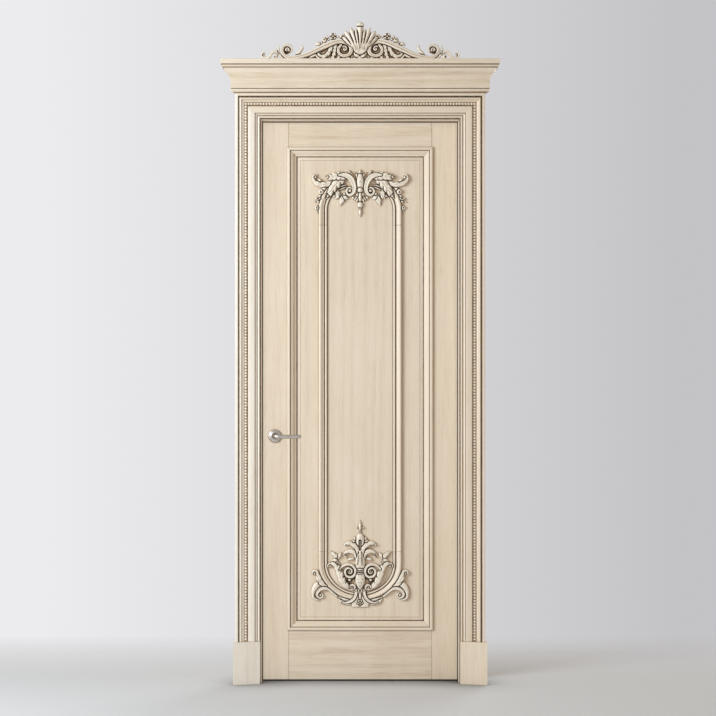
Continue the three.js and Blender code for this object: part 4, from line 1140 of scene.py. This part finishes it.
    # arms, the lower pair first
    carving.dome(60.5, 203.5, 4.8, 14)
    carving.rounded([[30, 196, 5, 13], [41, 194, 6, 14], [50, 190, 2.4, 9]])
    carving.leaf([
        [6, 172, 9, 15], [14, 205, 9.6, 19], [27, 222, 9.4, 20], [42, 226, 8.6, 20], [55, 223, 7, 18],
        [64, 213, 5, 15],
    ], 3, (0.08, 0.2), eye=0, relief=0.8)
    carving.dome(59, 211.5, 3, 17)
    carving.leaf([
        [3, 190, 9, 16], [8, 225, 9.4, 20], [19, 245, 9, 21], [34, 256.5, 9, 21], [50, 259.5, 8, 20],
        [61, 253, 5.4, 16],
    ], 3, (0.08, 0.16), eye=0, relief=0.8)
    carving.drill(57.5, 252.5, 2.8, 12)
    carving.drill(60.5, 215, 2.4, 10)
    # hood with its string of pearls
    carving.dome(26, 268, 6.4, 12)
    carving.dome(21, 278, 6.6, 13)
    carving.rounded([[0, 262, 16, 14], [0, 278, 17, 15], [0, 287, 13.5, 16], [0, 293, 9, 14]], flat=0.4)
    carving.rounded([
        [0, 154, 10, 17], [0, 168, 18, 21], [0, 186, 19, 22], [0, 206, 13, 21], [0, 228, 5, 16],
    ], flat=0.6, groove=1.6, depth=0.4)
    carving.rounded([[10, 172, 2, 22], [7, 196, 2, 24], [6, 222, 1, 20]], groove=1.2, depth=0.3)
    carving.trench([[0, 234, 4.8, 3], [0, 268, 6.4, 3]])
    carving.pearls((0, 236), (0, 268), (3.3, 2.9), 14, 6)
    carving.drill(17, 287, 2.4, 12)
    # collar and spear
    carving.rounded([[-8, 151, 4.4, 18], [0, 151, 5, 20], [8, 151, 4.4, 18]])
    carving.rounded([[-11, 142.4, 2.8, 17], [0, 142.4, 2.8, 19], [11, 142.4, 2.8, 17]])
    carving.rounded([[-10, 136, 2.8, 17], [0, 136, 2.8, 19], [10, 136, 2.8, 17]])
    carving.rounded([[0, 316, 3, 9], [8, 321, 2, 8], [15, 323, 3.2, 10]])
    carving.dome(0, 304, 3.6, 10)
    carving.dome(0, 312, 4.6, 12)
    carving.rounded([[0, 316, 4, 10], [0, 325, 6.4, 13], [0, 338, 4.4, 10], [0, 354.5, 0.5, 6]], flutes=2)
    return carving


# Upper ornament. Its lowest point is the head of the strips.
upperOrnament = {
    "step": 1.0,
    "stripCentre": 152.3,
    "archStraight": 64.0,
    "archRadius": 110.0,
    "bendHalf": 18.5,
    "bendTall": 13.0,
}


def bendOfUpperOrnament():
    centre = upperOrnament["stripCentre"]
    section = [upperOrnament["bendHalf"], upperOrnament["bendTall"]]
    points = [[centre, -20] + section, [centre, 20] + section]
    middle = centre - upperOrnament["archRadius"]
    for degrees in range(0, 71, 10):
        angle = math.radians(degrees)
        x = middle + upperOrnament["archRadius"] * math.cos(angle)
        z = upperOrnament["archStraight"] + upperOrnament["archRadius"] * math.sin(angle)
        points.append([x, z] + section)
    return points


def carveUpperOrnament():
    carving = Carving(206, -1, 232, upperOrnament["step"])
    profile = [(37 - u, h, tone) for u, h, tone in reversed(bentStripProfile)]
    carving.moulding(bendOfUpperOrnament(), profile, startAt=0.0)
    # husks down the outside
    carving.rounded([[177, 82, 2.4, 9], [177, 64, 3, 9], [176, 50, 1, 7]])
    carving.dome(178, 72, 8.4, 12)
    carving.drill(178, 72, 3.4, 9)
    carving.rounded([[160, 136, 4, 10], [166, 120, 4.4, 12], [172, 106, 5, 12]])
    carving.flower(173, 106, 12, 14, 3, -90)
    carving.dome(187, 96, 3.4, 10)
    carving.rounded([[142, 166, 4, 12], [148, 153, 7.6, 14], [152, 142, 4, 11]])
    carving.dome(160.5, 138, 11, 16)
    carving.drill(162, 137, 3.8, 10)
    # outer horn
    carving.rounded([[156, 176, 4, 12], [167, 186, 6, 14], [174, 190, 3, 11]])
    carving.leaf(
        [[108, 182, 5, 12], [124, 173, 9, 16], [146, 168, 11, 19], [170, 170, 10, 19], [187, 180, 7.6, 18],
         [194.5, 194, 5.4, 16], [190, 206, 4.4, 15], [180.5, 207, 3.4, 12]],
        5, (0.3, 0.02), rake=0.5, eye=0,
    )
    carving.dome(184, 198, 5, 15)
    # sprigs inside the arch
    carving.rounded([[56, 124, 4, 10], [76, 126, 5, 12], [90, 128, 4, 10]])
    carving.leaf([[92, 140, 5, 12], [94, 124, 12, 16], [100, 110, 3, 10]], 3, (0.25, 0.25), eye=1.2)
    carving.leaf([[72, 124, 4, 11], [76, 104, 10, 14], [82.5, 80, 1, 7]], 2, (0.22, 0.22), eye=0)
    carving.leaf([[70, 124, 4, 11], [60, 114, 8, 14], [48, 110, 1.6, 8]], 2, (0.25, 0.25), eye=0)
    carving.dome(64.5, 129, 5.6, 14)
    carving.dome(107, 121, 4.6, 12)
    # thin ribs in the hollow
    carving.ground([[52, 160, 8, 4], [72, 158, 12, 4], [92, 150, 8, 4]], 4.0)
    carving.rounded([[56, 166, 2, 9], [72, 163, 3, 11], [90, 154, 2, 9]])
    carving.rounded([[56, 158, 2, 9], [70, 153, 3, 11], [84, 146, 2, 9]])
    # leaf that lies over the arch
    carving.leaf(
        [[62, 196, 10, 16], [86, 181, 18, 22], [106, 160, 17.5, 23], [121, 139, 14, 22], [132, 122, 9, 18],
         [137, 113, 4, 13]],
        5, (0.1, 0.4), rake=0.6, eye=1.7,
    )
    carving.drill(134, 131, 3.4, 12)
    carving.dome(133, 120, 5, 16)
    # main leaf, and the tip that stands up from it
    carving.rounded([[36, 196, 8, 17], [41, 212, 6.4, 17], [46, 226.5, 1.4, 10]], flutes=1)
    carving.leaf(
        [[52, 203, 13, 22], [76, 203, 17.5, 25], [100, 202.5, 17, 25], [119, 198, 13.5, 24],
         [132, 199, 8.4, 20], [140, 203, 4, 15]],
        5, (0.22, 0.14), rake=0.65, eye=1.8, relief=0.8,
    )
    carving.dome(134, 199, 6.2, 20, 0.5)
    carving.drill(137, 200, 2.2, 10)
    # S-shaped stems that flow out of the leaf and end in volutes
    carving.ground([[41, 143, 16, 3], [42, 143, 16, 3]], 3.0)
    carving.band([
        [88, 206, 4, 18], [68, 207, 8.6, 22], [48, 201, 11, 23], [34, 186, 10.6, 22],
        [26.5, 168, 9.4, 21], [24, 151, 8.2, 20], [27, 137, 7, 19], [34.5, 127.5, 6.2, 18],
        [45, 124.5, 5.4, 17], [54, 131, 4.8, 16], [56.5, 142, 4.4, 15], [51, 152, 4, 15],
        [41, 155, 3.6, 14], [34, 150, 3, 13],
    ], hollow=0.12)
    carving.dome(42, 142.5, 6.8, 17, 0.6)
    # tulip
    carving.rounded([[12, 186, 4, 12], [16, 204, 4.4, 14], [24, 219, 1.4, 9]])
    carving.rounded([[8, 184, 6, 14], [13, 204, 5, 16], [16.5, 214, 1.4, 10]])
    carving.rounded([[0, 196, 6, 14], [0, 211, 8.6, 18], [0, 229.5, 1, 9]], flutes=2)
    carving.rounded([[0, 158, 11, 18], [0, 172, 13.5, 20], [0, 190, 13, 20], [0, 203, 10, 17]], flat=0.55)
    carving.drill(0, 178, 1.8, 9)
    # pendant
    carving.dome(28.4, 113.6, 6, 13)
    carving.rounded([[6, 122, 4, 12], [18, 110, 5.4, 13], [24, 104, 2, 9]])
    carving.dome(9.4, 126, 7.2, 14)
    carving.rounded([[3, 118, 4, 12], [12, 104, 4.6, 12], [16, 97, 1.5, 9]])
    carving.rounded([[0, 132, 6, 15], [0, 112, 7.4, 16], [0, 94, 3, 12]])
    carving.rounded([[0, 93, 5, 11], [0, 85, 11, 15], [0, 77, 10, 13]])
    carving.rounded([[-5, 70, 3.2, 12], [5, 70, 3.2, 12]])
    carving.rounded([[0, 66, 3.4, 10], [0, 54, 7, 13], [0, 34.5, 0.5, 6]], flutes=2)
    carving.dome(0, 145.3, 10.6, 20)
    return carving


# Crest on the cornice
crest = {
    "step": 1.15,
    "rail": 7.0,
    "railEnd": 345.0,
    "railTall": 8.0,
    "frondFoot": 48.0,
    "fronds": ((68, 92, 9.6), (59, 115, 11), (38, 128, 10.4), (19, 124, 7)),  # tip's place and half width
}


def carveCrest():
    carving = Carving(405, -0.6, 156, crest["step"])
    # rail and backing
    edge = np.minimum(crest["rail"] - carving.z, crest["railEnd"] - carving.x)
    carving.height = np.where(edge > 0, crest["railTall"], carving.height)
    carving.edge = np.maximum(carving.edge, np.where(edge > 0, edge, -3.0))
    carving.ground([
        [0, 30, 30, 4], [60, 36, 34, 4], [100, 34, 36, 4], [140, 28, 28, 4], [180, 20, 20, 4],
        [222, 10, 12, 4],
    ], 5.0)
    # garland above the band
    carving.leaf([[160, 60, 5, 11], [170, 70, 8.6, 14], [184, 61, 1.4, 8]], 3, (0.3, 0.2), eye=1.2)
    carving.dome(157, 73, 5, 12)
    carving.dome(145, 84, 11.4, 16, 0.3)
    carving.drill(146, 85, 3, 8)
    carving.leaf([[128, 84, 4, 11], [134, 94, 6, 13], [140, 103, 1.2, 8]], 2, (0.25, 0.25), eye=0)
    carving.dome(128, 86, 5, 12)
    carving.dome(110, 98, 14.5, 13, 0.2)
    carving.flower(110, 98, 14.5, 17, 4, 45)
    carving.dome(90, 97, 5.4, 13)
    carving.dome(73, 97, 10.6, 16, 0.3)
    carving.drill(71, 98, 3, 8)
    # leaves under the band
    carving.rounded([[168, 10, 5, 11], [182, 21, 6, 14], [197, 16, 5, 12], [207, 11, 1.6, 9]])
    carving.drill(181, 16, 2.6, 8)
    carving.leaf(
        [[112, 62, 7, 14], [120, 46, 8, 16], [131, 27, 8.4, 17], [147, 16.5, 8, 17], [163, 19.5, 6, 16],
         [172, 31, 4.6, 14], [167, 41, 3.4, 12]],
        5, (0.04, 0.34), eye=1.4,
    )
    carving.dome(164, 35, 4.2, 13)
    carving.leaf([
        [98, 66, 6, 14], [102, 48, 8.4, 17], [105, 30, 8, 16], [112, 10, 6.6, 13],
    ], 4, (0.3, 0.3), eye=1.7)
    carving.rounded([[92, 30, 5, 12], [84, 18, 6.4, 14], [92, 9, 4, 11]])
    carving.rounded([[44, 22, 5, 12], [50, 12, 7, 14], [60, 6, 3, 10]])
    carving.dome(66, 10, 5, 12)
    # end scrolls
    carving.band([
        [306, 6, 4, 12], [322, 18, 5.4, 14], [335, 33, 6.4, 16], [349, 37.5, 6.4, 17], [361, 29, 6, 16],
        [369, 16, 5.6, 15], [382, 9.6, 5.4, 14], [394, 13, 5, 14], [399, 23, 4.2, 13],
        [394, 31.5, 3.4, 12], [387, 29, 2.8, 11],
    ], hollow=0.15)
    carving.dome(391, 22, 4, 12)
    carving.dome(343, 17, 9.4, 15)
    carving.drill(346, 15, 3.2, 9)
    carving.leaf([[328, 30, 3, 10], [332, 46, 5, 13], [332, 63, 1, 8]], 2, (0.2, 0.2), eye=0)
    carving.rounded([
        [262, 18, 6, 13], [250, 31, 7.4, 15], [240, 42, 6.4, 15], [235, 52, 5.4, 14], [240, 59, 3.6, 12],
    ])
    carving.drill(244, 50, 2.6, 9)
    # scroll discs
    carving.ground([[297, 44, 18, 3], [298, 44, 18, 3]], 3.0)
    carving.ground([[62, 47, 22, 3], [63, 47, 22, 3]], 3.0)
    # long S band
    carving.band([
        [281, 37, 3.4, 13], [277, 46, 4.4, 15], [283, 57.5, 5, 16], [297, 62.5, 5.6, 17],
        [311, 57, 6, 17], [317.5, 43, 6.4, 18], [312, 25, 7, 18], [296, 14, 7.4, 18],
        [272, 12.6, 7.8, 18], [243.5, 17, 8.4, 19], [215, 25, 9.2, 20], [186.5, 38, 10, 21],
        [158, 51.5, 10.6, 22], [118, 69, 10.6, 22], [98, 76, 10, 22], [80, 78.5, 9.4, 21],
        [60, 75.5, 9, 20], [44, 66, 8.6, 19], [36.4, 51, 8.4, 19], [37.5, 35, 7.8, 18], [47, 24, 7, 18],
        [62.5, 19.6, 6.6, 17], [78, 23, 6.4, 17], [88, 35, 6.2, 17], [88, 50, 6, 16], [78, 62, 5, 15],
    ], hollow=0.15, reeds=3)
    carving.band(spiral((63, 46.5), (11.5, 2), (60, 460), (3.6, 2.8), (19, 18)), hollow=0.1)
    carving.band(spiral((298, 43.5), (9.5, 2), (200, -200), (3.4, 2.6), (17, 16)), hollow=0.1)
    # palmette on its stem
    carving.rounded([[0, 0, 16, 14], [0, 8, 13, 15], [0, 20, 7, 15], [0, 34, 10, 17]], flutes=2)
    carving.leaf([[3, 12, 4, 12], [16, 24, 9, 16], [24, 34, 3, 11]], 2, (0.15, 0.15), eye=0)
    carving.drill(18, 27, 2.4, 8)
    carving.rounded([[10, 4, 4, 11], [24, 8, 5.4, 13], [32, 6, 2, 9]])
    carving.rounded([[0, 46, 22, 18], [0, 56, 30, 20], [0, 72, 34, 20], [0, 88, 22, 18]], flat=0.95)
    foot = crest["frondFoot"]
    for tipX, tipZ, wide in crest["fronds"]:
        rise = tipZ - foot
        carving.rounded([
            [tipX * 0.3, foot, 5, 18], [tipX * 0.58, foot + rise * 0.42, wide * 0.8, 21],
            [tipX * 0.84, foot + rise * 0.8, wide, 22], [tipX, tipZ, wide * 0.6, 17],
        ], flat=0.1, groove=2.4, depth=0.9, joinedTo=0.22)
    carving.rounded(
        [[0, 52, 4, 20], [0, 78, 6, 21], [0, 104, 8.6, 21], [0, 130, 13.5, 19], [0, 142, 12, 16]],
        flutes=1, flat=0.5, joinedTo=0.15,
    )
    carving.rounded([[-9, 145, 7.4, 22], [0, 147, 8.6, 25], [9, 145, 7.4, 22]], flat=0.2)
    carving.drill(13.5, 139, 2.6, 12)
    return carving


def buildCarvings():
    stripLow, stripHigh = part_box("panel_strip_left")
    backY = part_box("ornament_bottom")[1].y
    lowerFoot = stripLow.z - gap - lowerOrnament["joint"] * mm
    upperFoot = stripHigh.z + gap
    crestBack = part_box("crest")[1].y
    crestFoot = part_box("cornice")[1].z + gap
    work = (
        ("lowerCarving", carveLowerOrnament, (0, backY, lowerFoot), "leaf", "ornament_bottom"),
        ("upperCarving", carveUpperOrnament, (0, backY, upperFoot), "leaf", "ornament_top"),
        ("crestCarving", carveCrest, (0, crestBack, crestFoot), "surround", "crest"),
    )
    for name, carve, place, body, node in work:
        mesh = carvedMesh(name, carve(), place)
        grainAlong = "x" if node == "crest" else "z"
        material = timberMaterial(
            name + "Wood", grainAlong, (0.5, 0.5, 0.1), 0.3, 0.05, 0.007, glazeAndShadeStrength="carvingGlazeAndShade",
        )
        finishPiece(name, mesh, body, [node], material, 48)


buildCarvings()
print("carvings ready")


# Handles and hinges
handle = {
    "start": 9.6,  # how far the neck starts from the leaf
    "straight": 16.0,
    "neckRadius": 10.6,
    "neckTaper": 0.96,
    "gripRadius": 7.9,
    "bend": 20.0,
    "reach": 62.0,
    "length": 110.0,
    "gripEnd": ((0.35, 1.0), (0.7, 1.0), (0.92, 0.98), (0.965, 0.9), (0.99, 0.7), (1.0, 0.4)),
    "sides": 28,
}


def buildLever(name, face, out):
    spindleLow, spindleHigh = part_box("spindle")
    axis = Vector(((spindleLow.x + spindleHigh.x) / 2, 0, (spindleLow.z + spindleHigh.z) / 2))

    def ring(x, y, turn, tall, deep):
        centre = axis + Vector((x * mm, face + out * y * mm, 0))
        across = Vector((math.cos(turn), out * math.sin(turn), 0)) * deep * mm
        return oval(centre, across, upward * tall * mm, handle["sides"])

    start = handle["start"]
    bend = handle["bend"]
    corner = handle["reach"] - bend
    thick = handle["neckRadius"]
    thin = thick * handle["neckTaper"]
    rings = [ring(0, start, 0, thick, thick), ring(0, start + handle["straight"], 0, thin, thin)]
    for k in range(9):
        turn = math.pi / 2 * k / 8
        tall = thin + (handle["gripRadius"] - thin) * k / 8
        x = bend * (1 - math.cos(turn))
        rings.append(ring(x, corner + bend * math.sin(turn), -turn, tall, tall * 0.94))
    for share, size in handle["gripEnd"]:
        tall = handle["gripRadius"] * size
        x = bend + (handle["length"] - bend) * share
        rings.append(ring(x, handle["reach"], -math.pi / 2, tall, tall * 0.9))
    addPiece("leverHandle_" + name, skin(rings), "handle", ["lever_" + name], satinNickel)


rosette = {
    "profile": [  # share of the radius, and of the thickness
        (0.26, 0.0), (1.0, 0.0), (1.0, 0.12), (0.975, 0.4), (0.94, 0.66), (0.89, 0.82), (0.8, 0.89),
        (0.72, 0.84), (0.68, 0.86), (0.6, 1.0), (0.36, 1.0), (0.33, 0.96), (0.31, 0.8), (0.26, 0.8),
    ],
    "sides": 48,
}


def buildRosette(name, out):
    low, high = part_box("rosette_" + name)
    centre = Vector(((low.x + high.x) / 2, low.y if out > 0 else high.y, (low.z + high.z) / 2))
    radius = (high.x - low.x) / 2
    rise = forward * -out * (high.y - low.y)
    sides = rosette["sides"]
    rings = [
        oval(centre + rise * lift, rightward * radius * share, upward * radius * share, sides)
        for share, lift in rosette["profile"]
    ]
    points, faces, tones = skin(rings, capped=False)
    last = (len(rings) - 1) * sides
    faces.extend((last + k, last + (k + 1) % sides, (k + 1) % sides, k) for k in range(sides))
    solid = (points, faces, tones)
    addPiece("rosettePlate_" + name, solid, "leaf", ["rosette_" + name], satinNickel)


buildLever("front", frontFace, -1)
buildLever("back", backFace, 1)
buildRosette("front", -1)
buildRosette("back", 1)


def drum(centre, radius, low, high, edge, sides=24):
    # An upright round bar with small rounded ends
    ends = ((edge * 0.9, 0), (edge * 0.3, edge * 0.35), (0, edge))
    levels = [(inset, low + rise) for inset, rise in ends]
    levels += [(inset, high - rise) for inset, rise in reversed(ends)]
    return skin([
        oval(Vector((*centre, z)), rightward * (radius - inset), forward * (inset - radius), sides)
        for inset, z in levels
    ])


def roundedPlate(low, high, corner):
    # A flat plate in x and z with rounded corners, low.y to high.y thick
    near = low + Vector((corner, 0, corner))
    far = high - Vector((corner, 0, corner))
    outline = []
    for x, z, start in ((far.x, far.z, 0), (near.x, far.z, 90), (near.x, near.z, 180), (far.x, near.z, 270)):
        for k in range(5):
            angle = math.radians(start + 22.5 * k)
            outline.append((x + corner * math.cos(angle), z + corner * math.sin(angle)))
    return skin([[Vector((x, y, z)) for x, z in outline] for y in (low.y, high.y)])


def screwHead(centre, radius, sides=12):
    return skin([
        oval(centre - forward * radius * rise, rightward * radius * share, upward * radius * share, sides)
        for rise, share in ((0.0, 1.0), (0.175, 1.0), (0.3, 0.85), (0.31, 0.3), (0.15, 0.25))
    ])


hinge = {
    "knuckleRadius": 6.5,
    "knuckle": 45.0,
    "knuckleEdge": 1.0,
    "pinRadius": 3.2,
    "pinTop": 26.0,
    "pinEdge": 0.6,
    "plateThick": 2.2,
    "plateHalf": 39.0,
    "plateInset": 1.5,
    "plateWidth": 26.0,
    "plateCorner": 5.0,
    "tongue": 6.0,  # how far the part under the knuckle runs into the plate
    "tongueCorner": 1.0,
    "screwAcross": 18.0,
    "screwRadius": 3.4,
    "screwLifts": (-29, 0, 29),
}


def buildHinge(number):
    stem = "hinge_" + str(number) + "_"
    joint = next(j for j in frame["joints"] if j["name"] == "leaf_hinge")["pos_m"]
    axis = (joint[0], joint[1])
    radius = hinge["knuckleRadius"] * mm
    knuckle = hinge["knuckle"] * mm
    middle = (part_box(stem + "frame")[0].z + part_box(stem + "door")[1].z) / 2
    face = backFace + gap
    thick = hinge["plateThick"] * mm
    half = hinge["plateHalf"] * mm
    for name, side, low, high in (
        ("frame", 1, middle - knuckle, middle - gap / 2), ("door", -1, middle + gap / 2, middle + knuckle),
    ):
        nearX = axis[0] + side * hinge["plateInset"] * mm
        farX = nearX + side * hinge["plateWidth"] * mm
        plateX = axis[0] + side * (radius + gap * 3)
        tongueX = plateX + side * hinge["tongue"] * mm
        tongueLow = middle - half if side > 0 else middle + gap
        tongueHigh = middle - gap if side > 0 else middle + half
        parts = []
        for x, otherX, lowZ, highZ, deep, corner in (
            (plateX, farX, middle - half, middle + half, thick, hinge["plateCorner"]),
            (nearX, tongueX, tongueLow, tongueHigh, thick * 0.98, hinge["tongueCorner"]),
        ):
            lowEnd = Vector((min(x, otherX), face, lowZ))
            highEnd = Vector((max(x, otherX), face + deep, highZ))
            parts.append(roundedPlate(lowEnd, highEnd, corner * mm))
        parts.append(drum(axis, radius, low, high, hinge["knuckleEdge"] * mm))
        screwX = axis[0] + side * hinge["screwAcross"] * mm
        for lift in hinge["screwLifts"]:
            centre = Vector((screwX, face + thick, middle + lift * mm))
            parts.append(screwHead(centre, hinge["screwRadius"] * mm))
        if name == "frame":
            pinTop = middle + hinge["pinTop"] * mm
            pinEdge = hinge["pinEdge"] * mm
            parts.append(drum(axis, hinge["pinRadius"] * mm, middle - knuckle, pinTop, pinEdge, 16))
        body = "surround" if name == "frame" else "leaf"
        piece = "hingeLeaf_" + str(number) + "_" + name
        addPiece(piece, merge(parts), body, [stem + name], satinNickel)


for number in (1, 2, 3):
    buildHinge(number)
print("metalwork ready")


# Boards that keep the frame's own shape, with eased edges
boardFinish = {"upright": (0.5, 0.08), "rail": (0.78, 0.2), "reach": 0.004, "easing": 1.8}
jointAt = abs(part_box("stile_left")[1].x)
boards = {
    "stile_left": ("z", (0.31, 0.2, 0.5), None),
    "stile_right": ("z", (1.17, 0.6, 0.1), None),
    "rail_top": ("x", (0.4, 0.9, 0.75), jointAt),
    "rail_bottom": ("x", (0.8, 0.3, 0.2), jointAt),
    "plinth_block_left": ("z", (0.2, 0.5, 0.7), None),
    "plinth_block_right": ("z", (0.6, 0.2, 0.4), None),
}


def dressBoards():
    reach = boardFinish["reach"]
    # The eased edges of the stiles and plinths get a paler timber that glaze hardly darkens, a painted
    # highlight.
    paleArrisHighlight = timberMaterial("arrisWood", "z", (0.3, 0.3, 0.3), 0.2, 0.02, reach, "paleArrisHighlight", glazeAndShadeStrength="arrisGlazeAndShade")
    for node, (grainAlong, shift, seam) in boards.items():
        board = frame["nodes"][node]
        board.data.materials.clear()
        streaks, figure = boardFinish["rail" if seam else "upright"]
        # The left plinth block gets the paler ground, painted light.
        ground = "paintedLitPale" if node == "plinth_block_left" else "pale"
        made = timberMaterial(node + "Wood", grainAlong, shift, streaks, figure, reach, ground, seam)
        board.data.materials.append(made)
        board.data.materials.append(paleArrisHighlight)
        easing = board.modifiers.new("easedEdges", "BEVEL")
        easing.width = boardFinish["easing"] * mm
        easing.segments = 2
        easing.limit_method = "ANGLE"
        easing.angle_limit = math.radians(40)
        easing.material = -1 if seam else 1
    frame["nodes"]["spindle"].data.materials.clear()
    frame["nodes"]["spindle"].data.materials.append(satinNickel)


dressBoards()
print("boards ready")


# Floor and light
studio = {
    "floorColor": (0.70, 0.70, 0.715, 1),
    "paintedContactShade": (0.06, 0.055, 0.05, 1),
    "floorHalf": 9.0,
    "floorRoughness": 0.8,
    "floorFade": (0.2, 1.3),  # how far behind the door the floor starts and ends to fade
    "contactShadeReach": 0.22,
    "backdropLitLeft": (0.84, 0.84, 0.865, 1),
    "backdropShadedRight": (0.55, 0.545, 0.565, 1),
    "backdropSpan": 0.17,
    "ambient": 0.44,
    "ambientColor": (1.0, 0.92, 0.81, 1),
    "keyLight": {"place": (-3.3, -2.5, -0.2), "power": 158.0, "size": 1.7, "color": (0.82, 0.92, 1.0)},
    "backLight": {"place": (2.6, 4.2, 0.8), "power": 70.0, "size": 2.6, "color": (1.0, 1.0, 1.0)},
    "aim": (0, 0, -1.0),
}


def buildFloor():
    height = cadBounds[0].z
    half = studio["floorHalf"]
    mesh = bpy.data.meshes.new("studioFloor")
    corners = [(x * half, y * half, height) for x, y in ((-1, -1), (1, -1), (1, 1), (-1, 1))]
    mesh.from_pydata(corners, [], [(0, 1, 2, 3)])
    material = bpy.data.materials.new("floorPaint")
    material.use_nodes = True
    tree = material.node_tree
    shader = tree.nodes["Principled BSDF"]
    behind = put(tree, "SeparateXYZ", {0: put(tree, "TexCoord").outputs["Object"]}).outputs[1]
    fadeStart, fadeEnd = studio["floorFade"]
    tree.links.new(remap(tree, behind, fadeStart, fadeEnd, 1.0, 0.0), shader.inputs["Alpha"])
    # Ambient occlusion paints contact shade dark onto the floor round the door's foot and under the leaf.
    clear = put(tree, "AmbientOcclusion", {"Distance": studio["contactShadeReach"]}, samples=8).outputs["AO"]
    color = blend(tree, remap(tree, clear, 0.25, 0.95), studio["paintedContactShade"], studio["floorColor"])
    tree.links.new(color, shader.inputs["Base Color"])
    shader.inputs["Roughness"].default_value = studio["floorRoughness"]
    mesh.materials.append(material)
    floor = bpy.data.objects.new("studioFloor", mesh)
    bpy.context.scene.collection.objects.link(floor)


def addAreaLight(name):
    light = bpy.data.lights.new(name, "AREA")
    light.energy = studio[name]["power"]
    light.size = studio[name]["size"]
    light.color = studio[name]["color"]
    made = bpy.data.objects.new(name, light)
    made.location = studio[name]["place"]
    made.rotation_euler = (Vector(studio["aim"]) - made.location).to_track_quat("-Z", "Y").to_euler()
    bpy.context.scene.collection.objects.link(made)
    return made


def keepLeafLit(light):
    # The surround and the levers throw none of this light's shadow.
    clear = bpy.data.collections.new("lightPassesThrough")
    kinds = ("casingBoard", "liningBoard", "sealLip", "corniceMoulding", "plinth_block", "leverHandle")
    for piece in bpy.context.scene.objects:
        if piece.name.startswith(kinds):
            clear.objects.link(piece)
    light.light_linking.blocker_collection = clear
    for member in clear.collection_objects:
        member.light_linking.link_state = "EXCLUDE"


def buildWorld():
    world = bpy.data.worlds.new("studioAir")
    world.use_nodes = True
    tree = world.node_tree
    surface = tree.nodes["World Output"].inputs["Surface"]
    # The backdrop the camera sees is painted lighter on the left and darker on the right, as light falling
    # off.
    sideways = put(tree, "SeparateXYZ", {0: put(tree, "TexCoord").outputs["Generated"]}).outputs[0]
    fade = remap(tree, sideways, -studio["backdropSpan"], studio["backdropSpan"])
    backdrop = blend(tree, fade, studio["backdropLitLeft"], studio["backdropShadedRight"])
    seen = put(tree, "Background", {"Color": backdrop, "Strength": 1.0})
    glow = put(tree, "Background", {"Color": studio["ambientColor"], "Strength": studio["ambient"]})
    ray = put(tree, "LightPath")
    mix = put(tree, "MixShader", {0: ray.outputs["Is Camera Ray"], 1: glow.outputs[0], 2: seen.outputs[0]})
    tree.links.new(mix.outputs[0], surface)
    bpy.context.scene.world = world


buildFloor()
buildWorld()
keepLeafLit(addAreaLight("keyLight"))
addAreaLight("backLight")
bpy.context.scene.view_settings.view_transform = "Standard"
print("studio ready")
